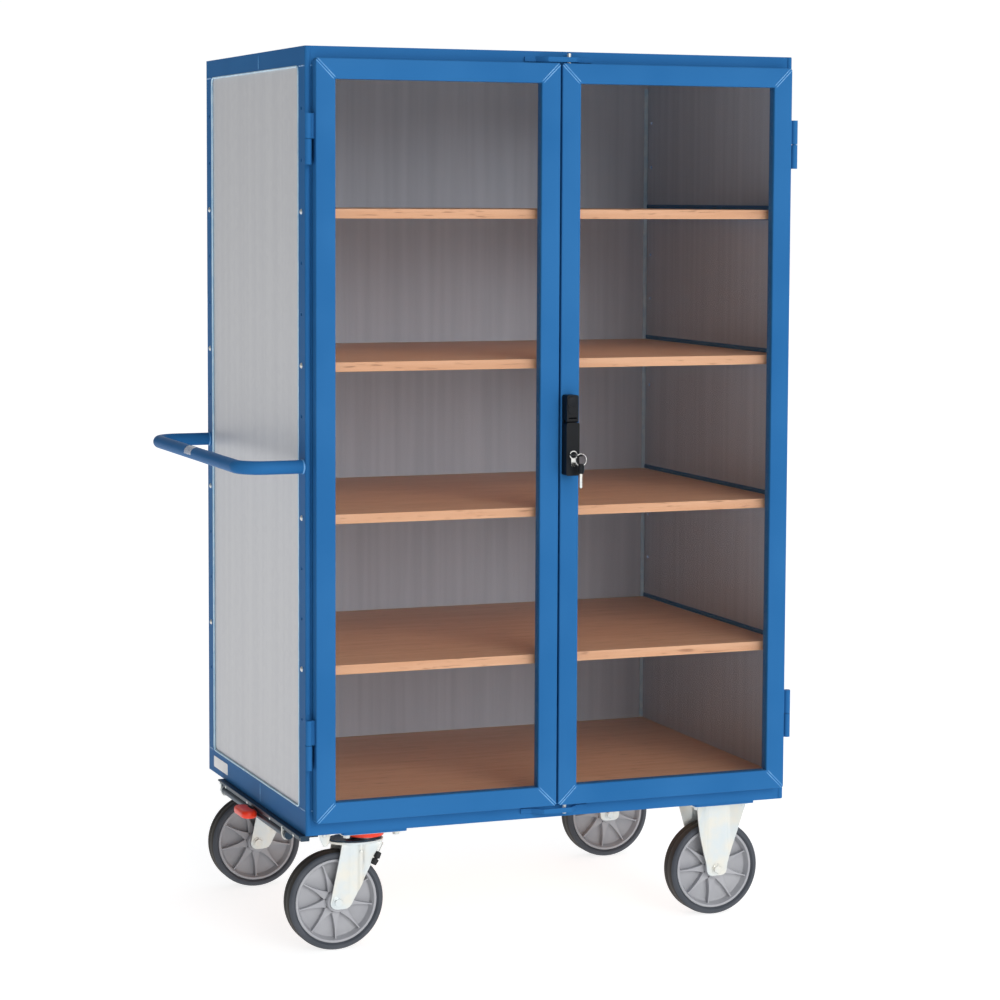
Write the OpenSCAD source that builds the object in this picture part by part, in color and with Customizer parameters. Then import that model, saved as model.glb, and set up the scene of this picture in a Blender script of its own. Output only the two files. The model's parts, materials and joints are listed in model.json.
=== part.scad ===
// Cabinet trolley: a steel-framed cupboard with two glazed doors, four shelves and a deck
// board, on two braked swivel castors (left end) and two fixed castors (right end).
// Millimetres, +Z up, doors facing -Y, the push handle at the left end (-X).
// The model is drawn in cabinet coordinates: X from the middle of the cabinet, Y from the
// front plane of the posts, Z from the floor. place() then moves the origin to the floor
// point under the middle of the overall box.

/* [Cabinet] */
// Width over the side rails
body_w = 1050; // [860:2:1300]
// Depth over the front and back rails
body_d = 718; // [590:2:880]
// Height of the cabinet, from the underside of the bottom rails to the roof
body_h = 1550; // [1290:10:1900]
// Height of the bottom rails
bottom_rail_h = 50; // [42:1:70]
// Height of the top rails
top_rail_h = 38; // [30:1:60]
// Wall of the rails and posts
rail_t = 3; // [2:0.5:4]
// Width of the rails' horizontal legs
rail_leg = 35; // [28:1:45]
// Outer radius of the cabinet's vertical edges
edge_r = 4; // [3:0.5:6]
// Width of a post seen from the side
post_side = 45; // [38:1:60]
// Width of a post seen from the front
post_front = 35; // [28:1:45]
// Thickness of the galvanised panels and the roof sheet
sheet_t = 1; // [0.8:0.1:1.5]

/* [Shelves] */
// Thickness of the shelves and of the deck board
board_t = 19; // [16:1:22]
// Pitch of the hole row in the posts
hole_pitch = 100; // [80:5:105]
// Height of the lowest hole above the underside of the bottom rails
hole_first = 230; // [190:5:280]
// Distance of the hole row from the front and back planes
hole_inset = 25; // [22:1:30]
// Radius of the holes in the posts
hole_r = 3.5; // [3:0.25:4]
// Number of holes from one shelf to the next
shelf_every = 3; // [2:1:3]
// Height of a shelf's top over its screws
shelf_over_screw = 6; // [4:1:8]
// Thickness of the shelf rails
shelf_rail_t = 2.5; // [2:0.5:3]
// Width of the shelf rails' horizontal legs
shelf_rail_leg = 25; // [20:1:35]
// Height of the shelf rails above a shelf's top
shelf_rail_up = 9; // [6:1:12]

/* [Doors] */
// Gap between the two doors
door_gap = 4; // [3:0.5:6]
// Width of the posts left free beside the doors
door_side_free = 13; // [12:0.5:16]
// Height of the bottom rail left free below the doors
door_low_free = 29; // [27:1:34]
// Height of the top rail left free above the doors
door_top_free = 24; // [22:1:30]
// Distance from the doors' back to the posts
door_air = 4; // [3:0.5:6]
// Thickness of the doors
door_t = 25; // [22:1:30]
// Width of the door frames' faces
door_face = 40; // [38:1:50]
// Width of the door frames' hollow chamber
chamber_w = 30; // [28:1:34]
// Wall of the door frames
door_wall = 2; // [1.5:0.25:2.5]
// Depth of the panes behind the doors' front
pane_set = 5; // [4:0.5:7]
// Thickness of the panes
pane_t = 4; // [3:0.5:6]

/* [Hinges] */
// Radius of the hinge knuckles
knuckle_r = 7; // [6:0.5:8]
// Length of one knuckle
knuckle_len = 49; // [40:1:60]
// Gap between the two knuckles of a hinge
knuckle_gap = 1; // [0.5:0.5:2]
// Radius of the hinge pins
pin_r = 4; // [3.5:0.5:5]
// Length of the pins above the lower knuckles
pin_len = 36; // [30:1:38]
// Distance of a hinge from the end of its door
hinge_inset = 106; // [80:1:150]
// Distance of the hinge axes in from the cabinet's sides
hinge_in = 1; // [0:0.5:2]

/* [Lock] */
// Place of the lock's spindle, from the middle of the cabinet
lock_x = 17; // [16.5:0.5:19]
// Height of the spindle above the underside of the bottom rails
lock_up = 838; // [700:1:950]
// Width of the lock's base plate
lock_w = 25; // [22:1:26]
// Length of the lock from its top to its foot
lock_len = 162; // [150:1:180]
// Length of the lock above its spindle
lock_over = 28; // [24:1:32]
// Thickness of the base plate
lock_base_t = 9; // [7:1:12]
// Thickness of the lever
lever_t = 17.5; // [15:0.5:20]
// Travel of the locking rods in a quarter turn
rod_travel = 20; // [18:0.5:22]
// Radius of the locking rods
rod_r = 4; // [3.5:0.25:4.5]
// Place of the locking rods, from the middle of the cabinet
rod_x = 21; // [19:0.5:23]

/* [Push handle] */
// Height of the handle above the underside of the bottom rails
handle_up = 732; // [650:5:850]
// Outer radius of the handle's tube
tube_r = 13.5; // [12:0.5:15]
// Wall of the handle's tube
tube_wall = 2.5; // [2:0.5:3]
// Distance of the crossbar from the cabinet's side
handle_reach = 123; // [105:1:150]
// Radius of the tube's bends
bend_r = 50; // [40:1:70]
// Distance of the handle's legs from the front and back planes
handle_inset = 15; // [14:0.5:20]

/* [Castors] */
// Diameter of the wheels
wheel_d = 200; // [160:5:240]
// Width of the tyres
tyre_w = 46; // [38:1:50]
// Thickness of the tyres
tyre_t = 14.5; // [14:0.5:22]
// Height of the castors above their wheels
head_h = 44; // [40:1:60]
// Clear width of the forks
fork_gap = 60; // [56:1:70]
// Thickness of the forks
fork_t = 4; // [3:0.5:5]
// Distance of the swivel axes from the left side
swivel_in = 147; // [140:1:180]
// Trail of the swivel castors
trail = 66; // [50:1:70]
// Distance of the fixed wheels from the right side
fixed_in = 131; // [110:1:170]
// Distance of the castors from the front and back planes
castor_in = 75; // [68:1:90]
// Length of the blue mounting plates
mount_l = 135; // [125:1:150]
// Depth of the blue mounting plates
mount_d = 125; // [116:1:135]
// Thickness of the mounting plates
mount_t = 6; // [5:0.5:8]

/* [Brake] */
// Length of the brake shaft
shaft_len = 480; // [400:5:520]
// Radius of the brake shaft
shaft_r = 9; // [8:0.5:10]
// Length of the foot pedal
pedal_l = 92; // [70:1:110]
// Width of the foot pedal
pedal_w = 40; // [30:1:50]
// Thickness of the foot pedal
pedal_t = 16; // [12:1:18]

/* [Hidden] */
$fn = 64;

blue = [0.17, 0.41, 0.66];
zinc = [0.78, 0.80, 0.80];
dark_zinc = [0.25, 0.30, 0.33];
beech = [0.78, 0.55, 0.38];
black = [0.08, 0.09, 0.10];
red = [0.90, 0.18, 0.10];
grey_plastic = [0.62, 0.62, 0.64];
tyre_grey = [0.25, 0.26, 0.28];
clear = [0.55, 0.58, 0.60, 0.4];

// Clearances
run_fit = 0.05;       // a shaft in its bore
face_gap = 0.3;       // faces of two moving pieces that pass each other
board_gap = 0.5;      // a board beside its rails

// Cabinet
side_x = body_w / 2;
base_z = wheel_d + head_h + mount_t;
roof_z = base_z + body_h;
deck_top = base_z + bottom_rail_h + 1;
panel_x = side_x - rail_t;              // outer face of a side panel
back_y = body_d - rail_t;               // outer face of the back panel
inner_x = panel_x - sheet_t;            // inner face of a side panel
panel_lap = 17;                         // panels behind the rails
corner_strip = 11;                      // folded edge of a side panel at the back
bearer_w = 40;
top_leg = rail_leg - 5;

// Shelves
shelf_count = 4;
first_shelf_hole = 1;
spare_hole_top = 60;                    // no hole this close to the top rail
hole_count = floor((body_h - top_rail_h - hole_first - spare_hole_top) / hole_pitch) + 1;
shelf_x = inner_x - shelf_rail_t - board_gap;
shelf_front = rail_t + 5;
shelf_back = back_y - sheet_t - 2;
screw_r = 3;
screw_head_r = 6.5;
screw_head_t = 3;
function hole_z(i) = base_z + hole_first + i * hole_pitch;
function screw_z(n) = hole_z(first_shelf_hole + (n - 1) * shelf_every);
function shelf_top(n) = screw_z(n) + shelf_over_screw;
function is_shelf_hole(i) = i >= first_shelf_hole
  && (i - first_shelf_hole) % shelf_every == 0
  && (i - first_shelf_hole) / shelf_every < shelf_count;
function under_handle(i) = abs(hole_z(i) - handle_z) < tube_r + 2 * hole_r;

// Doors
door_w = side_x - door_side_free - door_gap / 2;
door_low = base_z + door_low_free;
door_h = body_h - door_low_free - door_top_free;
door_top = door_low + door_h;
door_back_y = -door_air;
door_front_y = -door_air - door_t;
seal_gap = 0.5;
strip_t = 1.5;
pane_edge = chamber_w + strip_t + seal_gap;
drain_r = 3;

// Hinges
hinge_x = side_x - hinge_in;
hinge_y = -16;
leaf_t = 5;
upper_hinge = door_top - hinge_inset - 2 * knuckle_len - knuckle_gap;
lower_hinge = door_low + hinge_inset;

// Keepers
keeper_x = 3;
keeper_l = 146;
keeper_foot = 24;
keeper_t = 4;
keeper_h = 10;
keeper_mid = 60;
keeper_rise = 2.5;                      // between a door's end and its keeper

// Lock
lock_z = base_z + lock_up;
lock_top = lock_z + lock_over;
lock_foot = lock_top - lock_len;
lever_back = door_front_y - lock_base_t - face_gap;
lever_front = lever_back - lever_t;
spindle_r = 5;
disc_r = 10.5;
disc_rise = 1.2;
lever_top = lock_z - 18;
lever_pin_r = 2;
lever_knuckle_r = 4.5;
lever_pin_y = lever_front + lever_knuckle_r;
lever_pin_z = lever_top - lever_knuckle_r;
lever_ear = 4;
cylinder_x = lock_x + 1.5;
cylinder_z = lock_foot + 42;
cylinder_r = 8.5;
cylinder_h = 33;                        // over the round head and the stem below it
stem_w = 10;
plug_r = 6.5;
cylinder_rise = 2;
cylinder_depth = 14;
gearbox_h = 120;
gearbox_hole = 50;
rod_y = door_front_y + 14.5;
rod_top = door_top + rod_travel;
rod_low = door_low - rod_travel;

// Key, ring and spare key
key_t = 2.4;
blade_w = 8;
bow_w = 24;
bow_d = 20;
bow_gap = 5;
bow_hole_r = 4;
bow_y = lever_front - cylinder_rise - bow_gap;
bow_hole_y = bow_y - bow_d + bow_hole_r + 3;
ring_r = 12;
wire_r = 0.9;
ring_lean = 45;                         // the ring hangs to one side of the bow's hole
ring_x = cylinder_x + ring_r * cos(ring_lean);
ring_z = cylinder_z - ring_r * sin(ring_lean);
spare_head_w = 12;
spare_head_h = 20;
spare_head_t = 5;
spare_blade_w = 5;
spare_blade_t = 2;
spare_len = 29;

// Push handle
handle_z = base_z + handle_up;
handle_x = -side_x - handle_reach;

// Castors
wheel_r = wheel_d / 2;
castor_top = base_z - mount_t;
plate_t = 4;
plate_l = 130;
plate_d = 110;
swivel_x = -side_x + swivel_in;
swivel_wheel_x = swivel_x - trail;
fixed_x = side_x - fixed_in;
castor_y = [castor_in, body_d - castor_in];
mount_y = [castor_in - 7.5, body_d - castor_in + 7.5];
bolt_dx = 52;
bolt_dy = 44;
bolt_r = 5;
bolt_head_r = 8.5;
bolt_head_h = 7;
king_r = 8;
king_head_r = 14;
king_head_h = 4;
dome_r = 25;
crown_t = 5;
crown_back = 57;                       // legs behind the king pin
crown_reach = 79;                      // crown plate behind it
crown_ahead = 26;                      // and in front of it
crown_z = wheel_d + 16;                 // underside of the fork's crown
race_h = 2.5;
dome_z = crown_z + crown_t + race_h + face_gap;
ring_out_r = 39;
ring_t = 9;
ring_up = 4;
sleeve_r = 10;
axle_r = 6;
leg_foot = 14;                          // fork leg below the axle
hub_len = fork_gap - 2;
rim_r = wheel_r - tyre_t;
rim_w = tyre_w - 6;
rim_lip = 5;
web_t = 8;
spoke_w = rim_w - 10;
spokes = 9;
boss_r = 22;
left_phase = 10;
right_phase = 18;

// Brake
shaft_x = -side_x;
shaft_z = base_z - 22;
shaft_mid = body_d / 2 - 5;
cover_w = 40;
cover_t = 4;
bracket_t = 4;
pedal_y = body_d / 2 - 22;
pedal_gap = 1;

// Overall box, for the origin
key_front = bow_y - bow_d;
box_low_x = handle_x - tube_r;
box_high_x = hinge_x + knuckle_r;
origin_x = (box_low_x + box_high_x) / 2;
origin_y = (key_front + body_d) / 2;

// Moves a piece from cabinet coordinates to the part's own frame
module place() { translate([-origin_x, -origin_y, 0]) children(); }

// Box from its lowest and highest corners
module slab(a, b) { translate(a) cube(b - a); }

// Flat outline with four rounded corners, from (x0, y0) to (x1, y1)
module round_rect(x0, y0, x1, y1, r) {
  translate([x0 + r, y0]) square([x1 - x0 - 2 * r, y1 - y0]);
  translate([x0, y0 + r]) square([x1 - x0, y1 - y0 - 2 * r]);
  for (x = [x0 + r, x1 - r], y = [y0 + r, y1 - r]) translate([x, y]) circle(r);
}

// Cylinder along Y from y0 to y1
module bar_y(x, z, r, y0, y1) { translate([x, y1, z]) rotate([90, 0, 0]) cylinder(r = r, h = y1 - y0); }

// Cylinder along X from x0 to x1
module bar_x(y, z, r, x0, x1) { translate([x0, y, z]) rotate([0, 90, 0]) cylinder(r = r, h = x1 - x0); }

// Flat outline in the XZ plane, extruded along Y from y0 to y1
module plate_y(y0, y1) { translate([0, y1, 0]) rotate([90, 0, 0]) linear_extrude(y1 - y0) children(); }

// Flat outline in the YZ plane, extruded along X from x0 to x1
module plate_x(x0, x1) {
  translate([x0, 0, 0]) rotate([90, 0, 90]) linear_extrude(x1 - x0) children();
}

// The right-hand piece made from the left-hand one
module mirrored(on) { if (on) mirror([1, 0, 0]) children(); else children(); }

// ---------------------------------------------------------------- cabinet

module bottom_frame() {
  place() color(blue) union() {
    difference() {
      translate([0, 0, base_z]) linear_extrude(bottom_rail_h)
        round_rect(-side_x, 0, side_x, body_d, edge_r);
      slab([-panel_x, rail_t, base_z + rail_t], [panel_x, back_y, base_z + bottom_rail_h + 1]);
      slab([rail_leg - side_x, rail_leg, base_z - 1],
           [side_x - rail_leg, body_d - rail_leg, base_z + rail_t + 1]);
    }
    for (x = [swivel_x, 0, fixed_x]) deck_bearer(x);
  }
}

// Upturned channel under the deck board
module deck_bearer(x) {
  top = deck_top - board_t;
  difference() {
    slab([x - bearer_w / 2, rail_t, base_z + rail_t], [x + bearer_w / 2, back_y, top]);
    slab([x - bearer_w / 2 + rail_t, rail_t + rail_leg, base_z],
         [x + bearer_w / 2 - rail_t, back_y - rail_leg, top - rail_t]);
  }
}

module top_frame() {
  place() color(blue) difference() {
    translate([0, 0, roof_z - top_rail_h]) linear_extrude(top_rail_h)
      round_rect(-side_x, 0, side_x, body_d, edge_r);
    slab([-panel_x, rail_t, roof_z - top_rail_h - 1], [panel_x, back_y, roof_z - rail_t]);
    slab([top_leg - side_x, top_leg, roof_z - rail_t - 1],
         [side_x - top_leg, body_d - top_leg, roof_z + 1]);
  }
}

// Angle-section post at the front left corner, or at the back
module post(back) {
  low = base_z + bottom_rail_h;
  high = roof_z - top_rail_h;
  y0 = back ? body_d - post_side : 0;
  y1 = back ? body_d : post_side;
  difference() {
    translate([0, 0, low]) linear_extrude(high - low) intersection() {
      round_rect(-side_x, 0, side_x, body_d, edge_r);
      translate([-side_x, y0]) square([post_front, y1 - y0]);
    }
    slab([-panel_x, back ? 0 : rail_t, low - 1], [0, back ? back_y : body_d, high + 1]);
    side_holes(back ? body_d - hole_inset : hole_inset);
  }
}

// The free holes and the screw holes of one row
module side_holes(y) {
  for (i = [0 : hole_count - 1]) if (!is_shelf_hole(i) && !under_handle(i))
    bar_x(y, hole_z(i), hole_r, -side_x - 1, -inner_x + 1);
  for (n = [1 : shelf_count]) bar_x(y, screw_z(n), screw_r, -side_x - 1, -inner_x + 1);
}

module post_front_left() { place() color(blue) post(false); }
module post_front_right() { place() color(blue) mirrored(true) post(false); }
module post_rear_left() { place() color(blue) post(true); }
module post_rear_right() { place() color(blue) mirrored(true) post(true); }

// Galvanised side panel with its folded back edge
module side_panel() {
  low = base_z + bottom_rail_h - panel_lap;
  high = roof_z - panel_lap;
  difference() {
    union() {
      slab([-panel_x, rail_t, low], [-inner_x, back_y - sheet_t, high]);
      slab([-panel_x, back_y - 2 * sheet_t, low], [corner_strip - inner_x, back_y - sheet_t, high]);
    }
    side_holes(hole_inset);
    side_holes(body_d - hole_inset);
  }
}

module panel_left() { place() color(zinc) side_panel(); }
module panel_right() { place() color(zinc) mirrored(true) side_panel(); }

module panel_back() {
  place() color(zinc)
    slab([-panel_x, back_y - sheet_t, base_z + bottom_rail_h - panel_lap],
         [panel_x, back_y, roof_z - panel_lap]);
}

module roof_sheet() {
  place() color(zinc)
    slab([-inner_x + board_gap, rail_t + board_gap, roof_z - rail_t - sheet_t],
         [inner_x - board_gap, back_y - 2 * sheet_t - board_gap, roof_z - rail_t]);
}

module deck_board() {
  place() color(beech)
    slab([-inner_x + board_gap, rail_t + board_gap, deck_top - board_t],
         [inner_x - board_gap, back_y - 2 * sheet_t - board_gap, deck_top]);
}

// ---------------------------------------------------------------- shelves

module shelf(n) {
  place() color(beech)
    slab([-shelf_x, shelf_front, shelf_top(n) - board_t], [shelf_x, shelf_back, shelf_top(n)]);
}
module shelf_1() { shelf(1); }
module shelf_2() { shelf(2); }
module shelf_3() { shelf(3); }
module shelf_4() { shelf(4); }

// The two angle rails that carry a shelf
module shelf_rails(n) {
  under = shelf_top(n) - board_t;
  place() color(blue) for (side = [false, true]) mirrored(side) difference() {
    slab([-inner_x, rail_t + 1, under - shelf_rail_t],
         [shelf_rail_leg - inner_x, shelf_back, shelf_top(n) + shelf_rail_up]);
    slab([shelf_rail_t - inner_x, 0, under],
         [shelf_rail_leg - inner_x + 1, body_d, shelf_top(n) + shelf_rail_up + 1]);
    for (y = [hole_inset, body_d - hole_inset])
      bar_x(y, screw_z(n), screw_r, -inner_x - 1, shelf_rail_t - inner_x + 1);
  }
}
module shelf_rails_1() { shelf_rails(1); }
module shelf_rails_2() { shelf_rails(2); }
module shelf_rails_3() { shelf_rails(3); }
module shelf_rails_4() { shelf_rails(4); }

// Pan-head screws through the posts and panels into the shelf rails
module shelf_screws() {
  place() color(zinc) for (side = [false, true], n = [1 : shelf_count],
                           y = [hole_inset, body_d - hole_inset]) mirrored(side) {
    bar_x(y, screw_z(n), screw_head_r, -side_x - screw_head_t, -side_x);
    bar_x(y, screw_z(n), screw_r, -side_x - 1, shelf_rail_t - inner_x);
  }
}

// ---------------------------------------------------------------- handle and keepers

// Solid or hollow run of the push handle's tube
module handle_run(r, end) {
  y_low = handle_inset;
  y_high = body_d - handle_inset;
  for (y = [y_low, y_high]) bar_x(y, handle_z, r, handle_x + bend_r, -side_x + end);
  bar_y(handle_x, handle_z, r, y_low + bend_r, y_high - bend_r);
  for (end_y = [0, 1])
    translate([handle_x + bend_r, end_y == 0 ? y_low + bend_r : y_high - bend_r, handle_z])
      rotate([0, 0, end_y == 0 ? 180 : 90])
        rotate_extrude(angle = 90) translate([bend_r, 0]) circle(r);
}

module push_handle() {
  place() color(blue) difference() {
    handle_run(tube_r, 0);
    handle_run(tube_r - tube_wall, 1);
  }
}

// Strap that bows forward over the end of a locking rod
module keeper(z) {
  e = keeper_l / 2;
  f = e - keeper_foot;
  m = keeper_mid / 2;
  out = rod_y - rod_r - 2;
  translate([keeper_x, 0, z]) linear_extrude(keeper_h) polygon([
    [-e, 0], [-e, -keeper_t], [-f - 1, -keeper_t], [-m, out - keeper_t], [m, out - keeper_t],
    [f + 1, -keeper_t], [e, -keeper_t], [e, 0], [f, 0], [m - 1, out], [1 - m, out], [-f, 0]]);
}
module keeper_top() { place() color(blue) keeper(door_top + keeper_rise); }
module keeper_bottom() { place() color(blue) keeper(door_low - keeper_rise - 4.5 - keeper_h); }

// ---------------------------------------------------------------- hinges

// Lower half of a hinge: knuckle, pin and a leaf that is welded to the post
module hinge_frame_half(z) {
  translate([-hinge_x, hinge_y, z]) {
    cylinder(r = knuckle_r, h = knuckle_len);
    cylinder(r = pin_r, h = knuckle_len + pin_len);
  }
  slab([-side_x, hinge_y, z], [-side_x + leaf_t, 0, z + knuckle_len]);
}

// Upper half of a hinge: knuckle over the pin and a leaf that is welded to the door
module hinge_door_half(z) {
  low = z + knuckle_len + knuckle_gap;
  difference() {
    union() {
      translate([-hinge_x, hinge_y, low]) cylinder(r = knuckle_r, h = knuckle_len);
      slab([-hinge_x, hinge_y - leaf_t / 2, low],
           [-side_x + door_side_free, hinge_y + leaf_t / 2, low + knuckle_len]);
    }
    translate([-hinge_x, hinge_y, low - 1]) cylinder(r = pin_r + run_fit, h = pin_len + 2);
  }
}

module hinges_frame() {
  place() color(blue) for (side = [false, true], z = [lower_hinge, upper_hinge])
    mirrored(side) hinge_frame_half(z);
}
module hinges_door(side) {
  place() color(blue) for (z = [lower_hinge, upper_hinge]) mirrored(side) hinge_door_half(z);
}
module hinges_door_left() { hinges_door(false); }
module hinges_door_right() { hinges_door(true); }

// ---------------------------------------------------------------- doors

// Box inside the left door's outline, in by u on all four sides, from depth v0 to v1
module door_box(u, v0, v1) {
  slab([-side_x + door_side_free + u, door_front_y + v0, door_low + u],
       [-door_gap / 2 - u, door_front_y + v1, door_top - u]);
}

// Mitred frame: a hollow chamber with a lip in front of the pane
module door_frame() {
  difference() {
    door_box(0, 0, door_t);
    door_box(chamber_w, door_wall, door_t + 1);
    door_box(door_face, -1, door_t + 1);
    difference() {
      door_box(door_wall, door_wall, door_t - door_wall);
      door_box(chamber_w - door_wall, 0, door_t);
    }
    for (x = [-side_x + door_side_free + chamber_w / 2, -door_gap / 2 - 2 * chamber_w])
      translate([x, door_front_y + door_t / 2, door_low - 1]) cylinder(r = drain_r, h = door_wall + 2);
  }
}

// Rubber strip in front of the pane and the angle strip that presses on its back
module door_glazing() {
  difference() {
    door_box(pane_edge, door_wall, pane_set);
    door_box(door_face - seal_gap, 0, door_t);
  }
  difference() {
    door_box(chamber_w, pane_set + pane_t, pane_set + pane_t + strip_t);
    door_box(door_face - seal_gap, 0, door_t);
  }
  difference() {
    door_box(chamber_w, pane_set + pane_t + strip_t, door_t - door_wall);
    door_box(chamber_w + strip_t, 0, door_t);
  }
}

module door_frame_left() { place() color(blue) door_frame(); }
module door_pane_left() { place() color(clear) door_box(pane_edge, pane_set, pane_set + pane_t); }
module door_glazing_left() { place() color(black) door_glazing(); }
module door_frame_right() {
  place() color(blue) difference() {
    mirrored(true) door_frame();
    bar_y(lock_x, lock_z, spindle_r + 1, door_front_y - 1, door_front_y + door_wall + 1);
    translate([rod_x, rod_y, door_low - 1]) cylinder(r = rod_r + run_fit, h = door_wall + 2);
    translate([rod_x, rod_y, door_top - door_wall - 1])
      cylinder(r = rod_r + run_fit, h = door_wall + 2);
  }
}
module door_pane_right() {
  place() color(clear) mirrored(true) door_box(pane_edge, pane_set, pane_set + pane_t);
}
module door_glazing_right() { place() color(black) mirrored(true) door_glazing(); }

// ---------------------------------------------------------------- lock

// Base plate on the door, and the gearbox inside the door's chamber
module lock_base() {
  place() color(black) {
    difference() {
      plate_y(door_front_y - lock_base_t, door_front_y)
        round_rect(lock_x - lock_w / 2, lock_foot, lock_x + lock_w / 2, lock_top, 4);
      bar_y(lock_x, lock_z, spindle_r + run_fit, door_front_y - lock_base_t - 1, door_front_y + 1);
    }
    difference() {
      slab([lock_x - lock_w / 2 + 0.5, door_front_y + door_wall, lock_z - gearbox_h / 2],
           [lock_x + lock_w / 2 - 0.5, rod_y + rod_r + 2, lock_z + gearbox_h / 2]);
      bar_y(lock_x, lock_z, spindle_r + run_fit, door_front_y, rod_y + rod_r + 3);
      for (z = [lock_z - gearbox_h / 2 - 1, lock_z + gearbox_h / 2 - gearbox_hole])
        translate([rod_x, rod_y, z]) cylinder(r = rod_r + run_fit, h = gearbox_hole + 1);
    }
  }
}

// Spindle, head block with its round cover, and the two ears that hold the lever's pin
module lock_hub() {
  place() color(black) union() {
    bar_y(lock_x, lock_z, spindle_r, lever_back, rod_y + rod_r + 2);
    bar_y(lock_x, lock_z, disc_r, lever_front - disc_rise, lever_front);
    difference() {
      union() {
        plate_y(lever_front, lever_back)
          round_rect(lock_x - lock_w / 2, lever_top - 5, lock_x + lock_w / 2, lock_top, 4);
        slab([lock_x - lock_w / 2, lever_front, lever_pin_z],
             [lock_x + lock_w / 2, lever_back, lever_top]);
        bar_x(lever_pin_y, lever_pin_z, lever_knuckle_r, lock_x - lock_w / 2, lock_x + lock_w / 2);
      }
      slab([lock_x - lock_w / 2 + lever_ear, lever_front - 1, lever_top - 2 * lever_knuckle_r - 1],
           [lock_x + lock_w / 2 - lever_ear, lever_back + 1, lever_top + 1]);
    }
    bar_x(lever_pin_y, lever_pin_z, lever_pin_r, lock_x - lock_w / 2 + 1, lock_x + lock_w / 2 - 1);
  }
}

// Lever: a tongue round the pin between the ears, and the grip below them
module lock_lever() {
  tongue = lock_w / 2 - lever_ear - face_gap;
  grip_top = lever_top - 2 * lever_knuckle_r - face_gap;
  place() color(black) difference() {
    union() {
      bar_x(lever_pin_y, lever_pin_z, lever_knuckle_r, lock_x - tongue, lock_x + tongue);
      slab([lock_x - tongue, lever_pin_y, grip_top - 1],
           [lock_x + tongue, lever_back - 1, lever_pin_z]);
      plate_y(lever_front, lever_back)
        round_rect(lock_x - lock_w / 2 - 0.5, lock_foot, lock_x + lock_w / 2 + 2.5, grip_top, 4);
    }
    bar_x(lever_pin_y, lever_pin_z, lever_pin_r + run_fit, lock_x - lock_w, lock_x + lock_w);
    plate_y(lever_front - 1, lever_front + cylinder_depth) cylinder_outline();
  }
}

// Profile of the lock cylinder: a round head and a narrower stem with a round foot
module cylinder_outline() {
  foot_z = cylinder_z + cylinder_r - cylinder_h + stem_w / 2;
  translate([cylinder_x, cylinder_z]) circle(cylinder_r);
  translate([cylinder_x, foot_z]) circle(stem_w / 2);
  translate([cylinder_x - stem_w / 2, foot_z]) square([stem_w, cylinder_z - foot_z]);
}

// Chromed lock cylinder in the lever
module lock_cylinder() {
  place() color(zinc) difference() {
    plate_y(lever_front - cylinder_rise, lever_front + cylinder_depth) cylinder_outline();
    bar_y(cylinder_x, cylinder_z, plug_r + run_fit, lever_front - cylinder_rise - 1,
          lever_front + cylinder_depth - 2);
  }
}

// Plug with the key in it: the key's bow lies level in front of the lock
module key() {
  place() color(black) union() {
    bar_y(cylinder_x, cylinder_z, plug_r, lever_front - cylinder_rise,
          lever_front + cylinder_depth - 2 - face_gap);
    slab([cylinder_x - blade_w / 2, bow_y - 2, cylinder_z - key_t / 2],
         [cylinder_x + blade_w / 2, lever_front, cylinder_z + key_t / 2]);
    difference() {
      translate([0, 0, cylinder_z - key_t / 2]) linear_extrude(key_t)
        round_rect(cylinder_x - bow_w / 2, bow_y - bow_d, cylinder_x + bow_w / 2, bow_y, 7);
      translate([cylinder_x, bow_hole_y, cylinder_z - key_t])
        cylinder(r = bow_hole_r, h = 2 * key_t);
    }
  }
}

// Split ring's outline, or the room that the spare key leaves for it
module ring_wire(r) {
  translate([ring_x, bow_hole_y, ring_z]) rotate([90, 0, 0])
    rotate_extrude() translate([ring_r, 0]) circle(r);
}

// Split ring through the key's bow, and the spare key that hangs from it
module key_ring() {
  head_top = ring_z - ring_r + 4;
  head_low = head_top - spare_head_h;
  place() {
    color(zinc) ring_wire(wire_r);
    color(black) union() {
      difference() {
        plate_y(bow_hole_y - spare_head_t / 2, bow_hole_y + spare_head_t / 2)
          round_rect(ring_x - spare_head_w / 2, head_low, ring_x + spare_head_w / 2, head_top, 4);
        ring_wire(wire_r + face_gap);
      }
      slab([ring_x - spare_blade_w / 2, bow_hole_y - spare_blade_t / 2, head_low - spare_len],
           [ring_x + spare_blade_w / 2, bow_hole_y + spare_blade_t / 2, head_low + 3]);
    }
  }
}

module rod(z0, z1) {
  place() color(zinc) translate([rod_x, rod_y, z0]) cylinder(r = rod_r, h = z1 - z0);
}
module rod_upper() { rod(lock_z + gearbox_h / 2 - gearbox_hole + rod_travel + 5, rod_top); }
module rod_lower() { rod(rod_low, lock_z - gearbox_h / 2 + gearbox_hole - rod_travel - 5); }

// ---------------------------------------------------------------- castors

// The four bolt places of a castor at x and y
module at_bolts(x, y) {
  for (dx = [-bolt_dx, bolt_dx], dy = [-bolt_dy, bolt_dy]) translate([x + dx, y + dy, 0]) children();
}

// Castor top plate with its bolt holes
module top_plate(x, y, z, t, l, d) {
  difference() {
    translate([0, 0, z]) linear_extrude(t)
      round_rect(x - l / 2, y - d / 2, x + l / 2, y + d / 2, 6);
    for (dx = [-bolt_dx, bolt_dx], dy = [-bolt_dy, bolt_dy])
      translate([x + dx, castor_of(y) + dy, z - 1]) cylinder(r = bolt_r, h = t + 2);
  }
}
function castor_of(y) = y < body_d / 2 ? castor_y[0] : castor_y[1];

module castor_mounts() {
  place() color(blue) for (x = [swivel_x, fixed_x], y = mount_y)
    top_plate(x, y, base_z - mount_t, mount_t, mount_l, mount_d);
}

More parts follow.
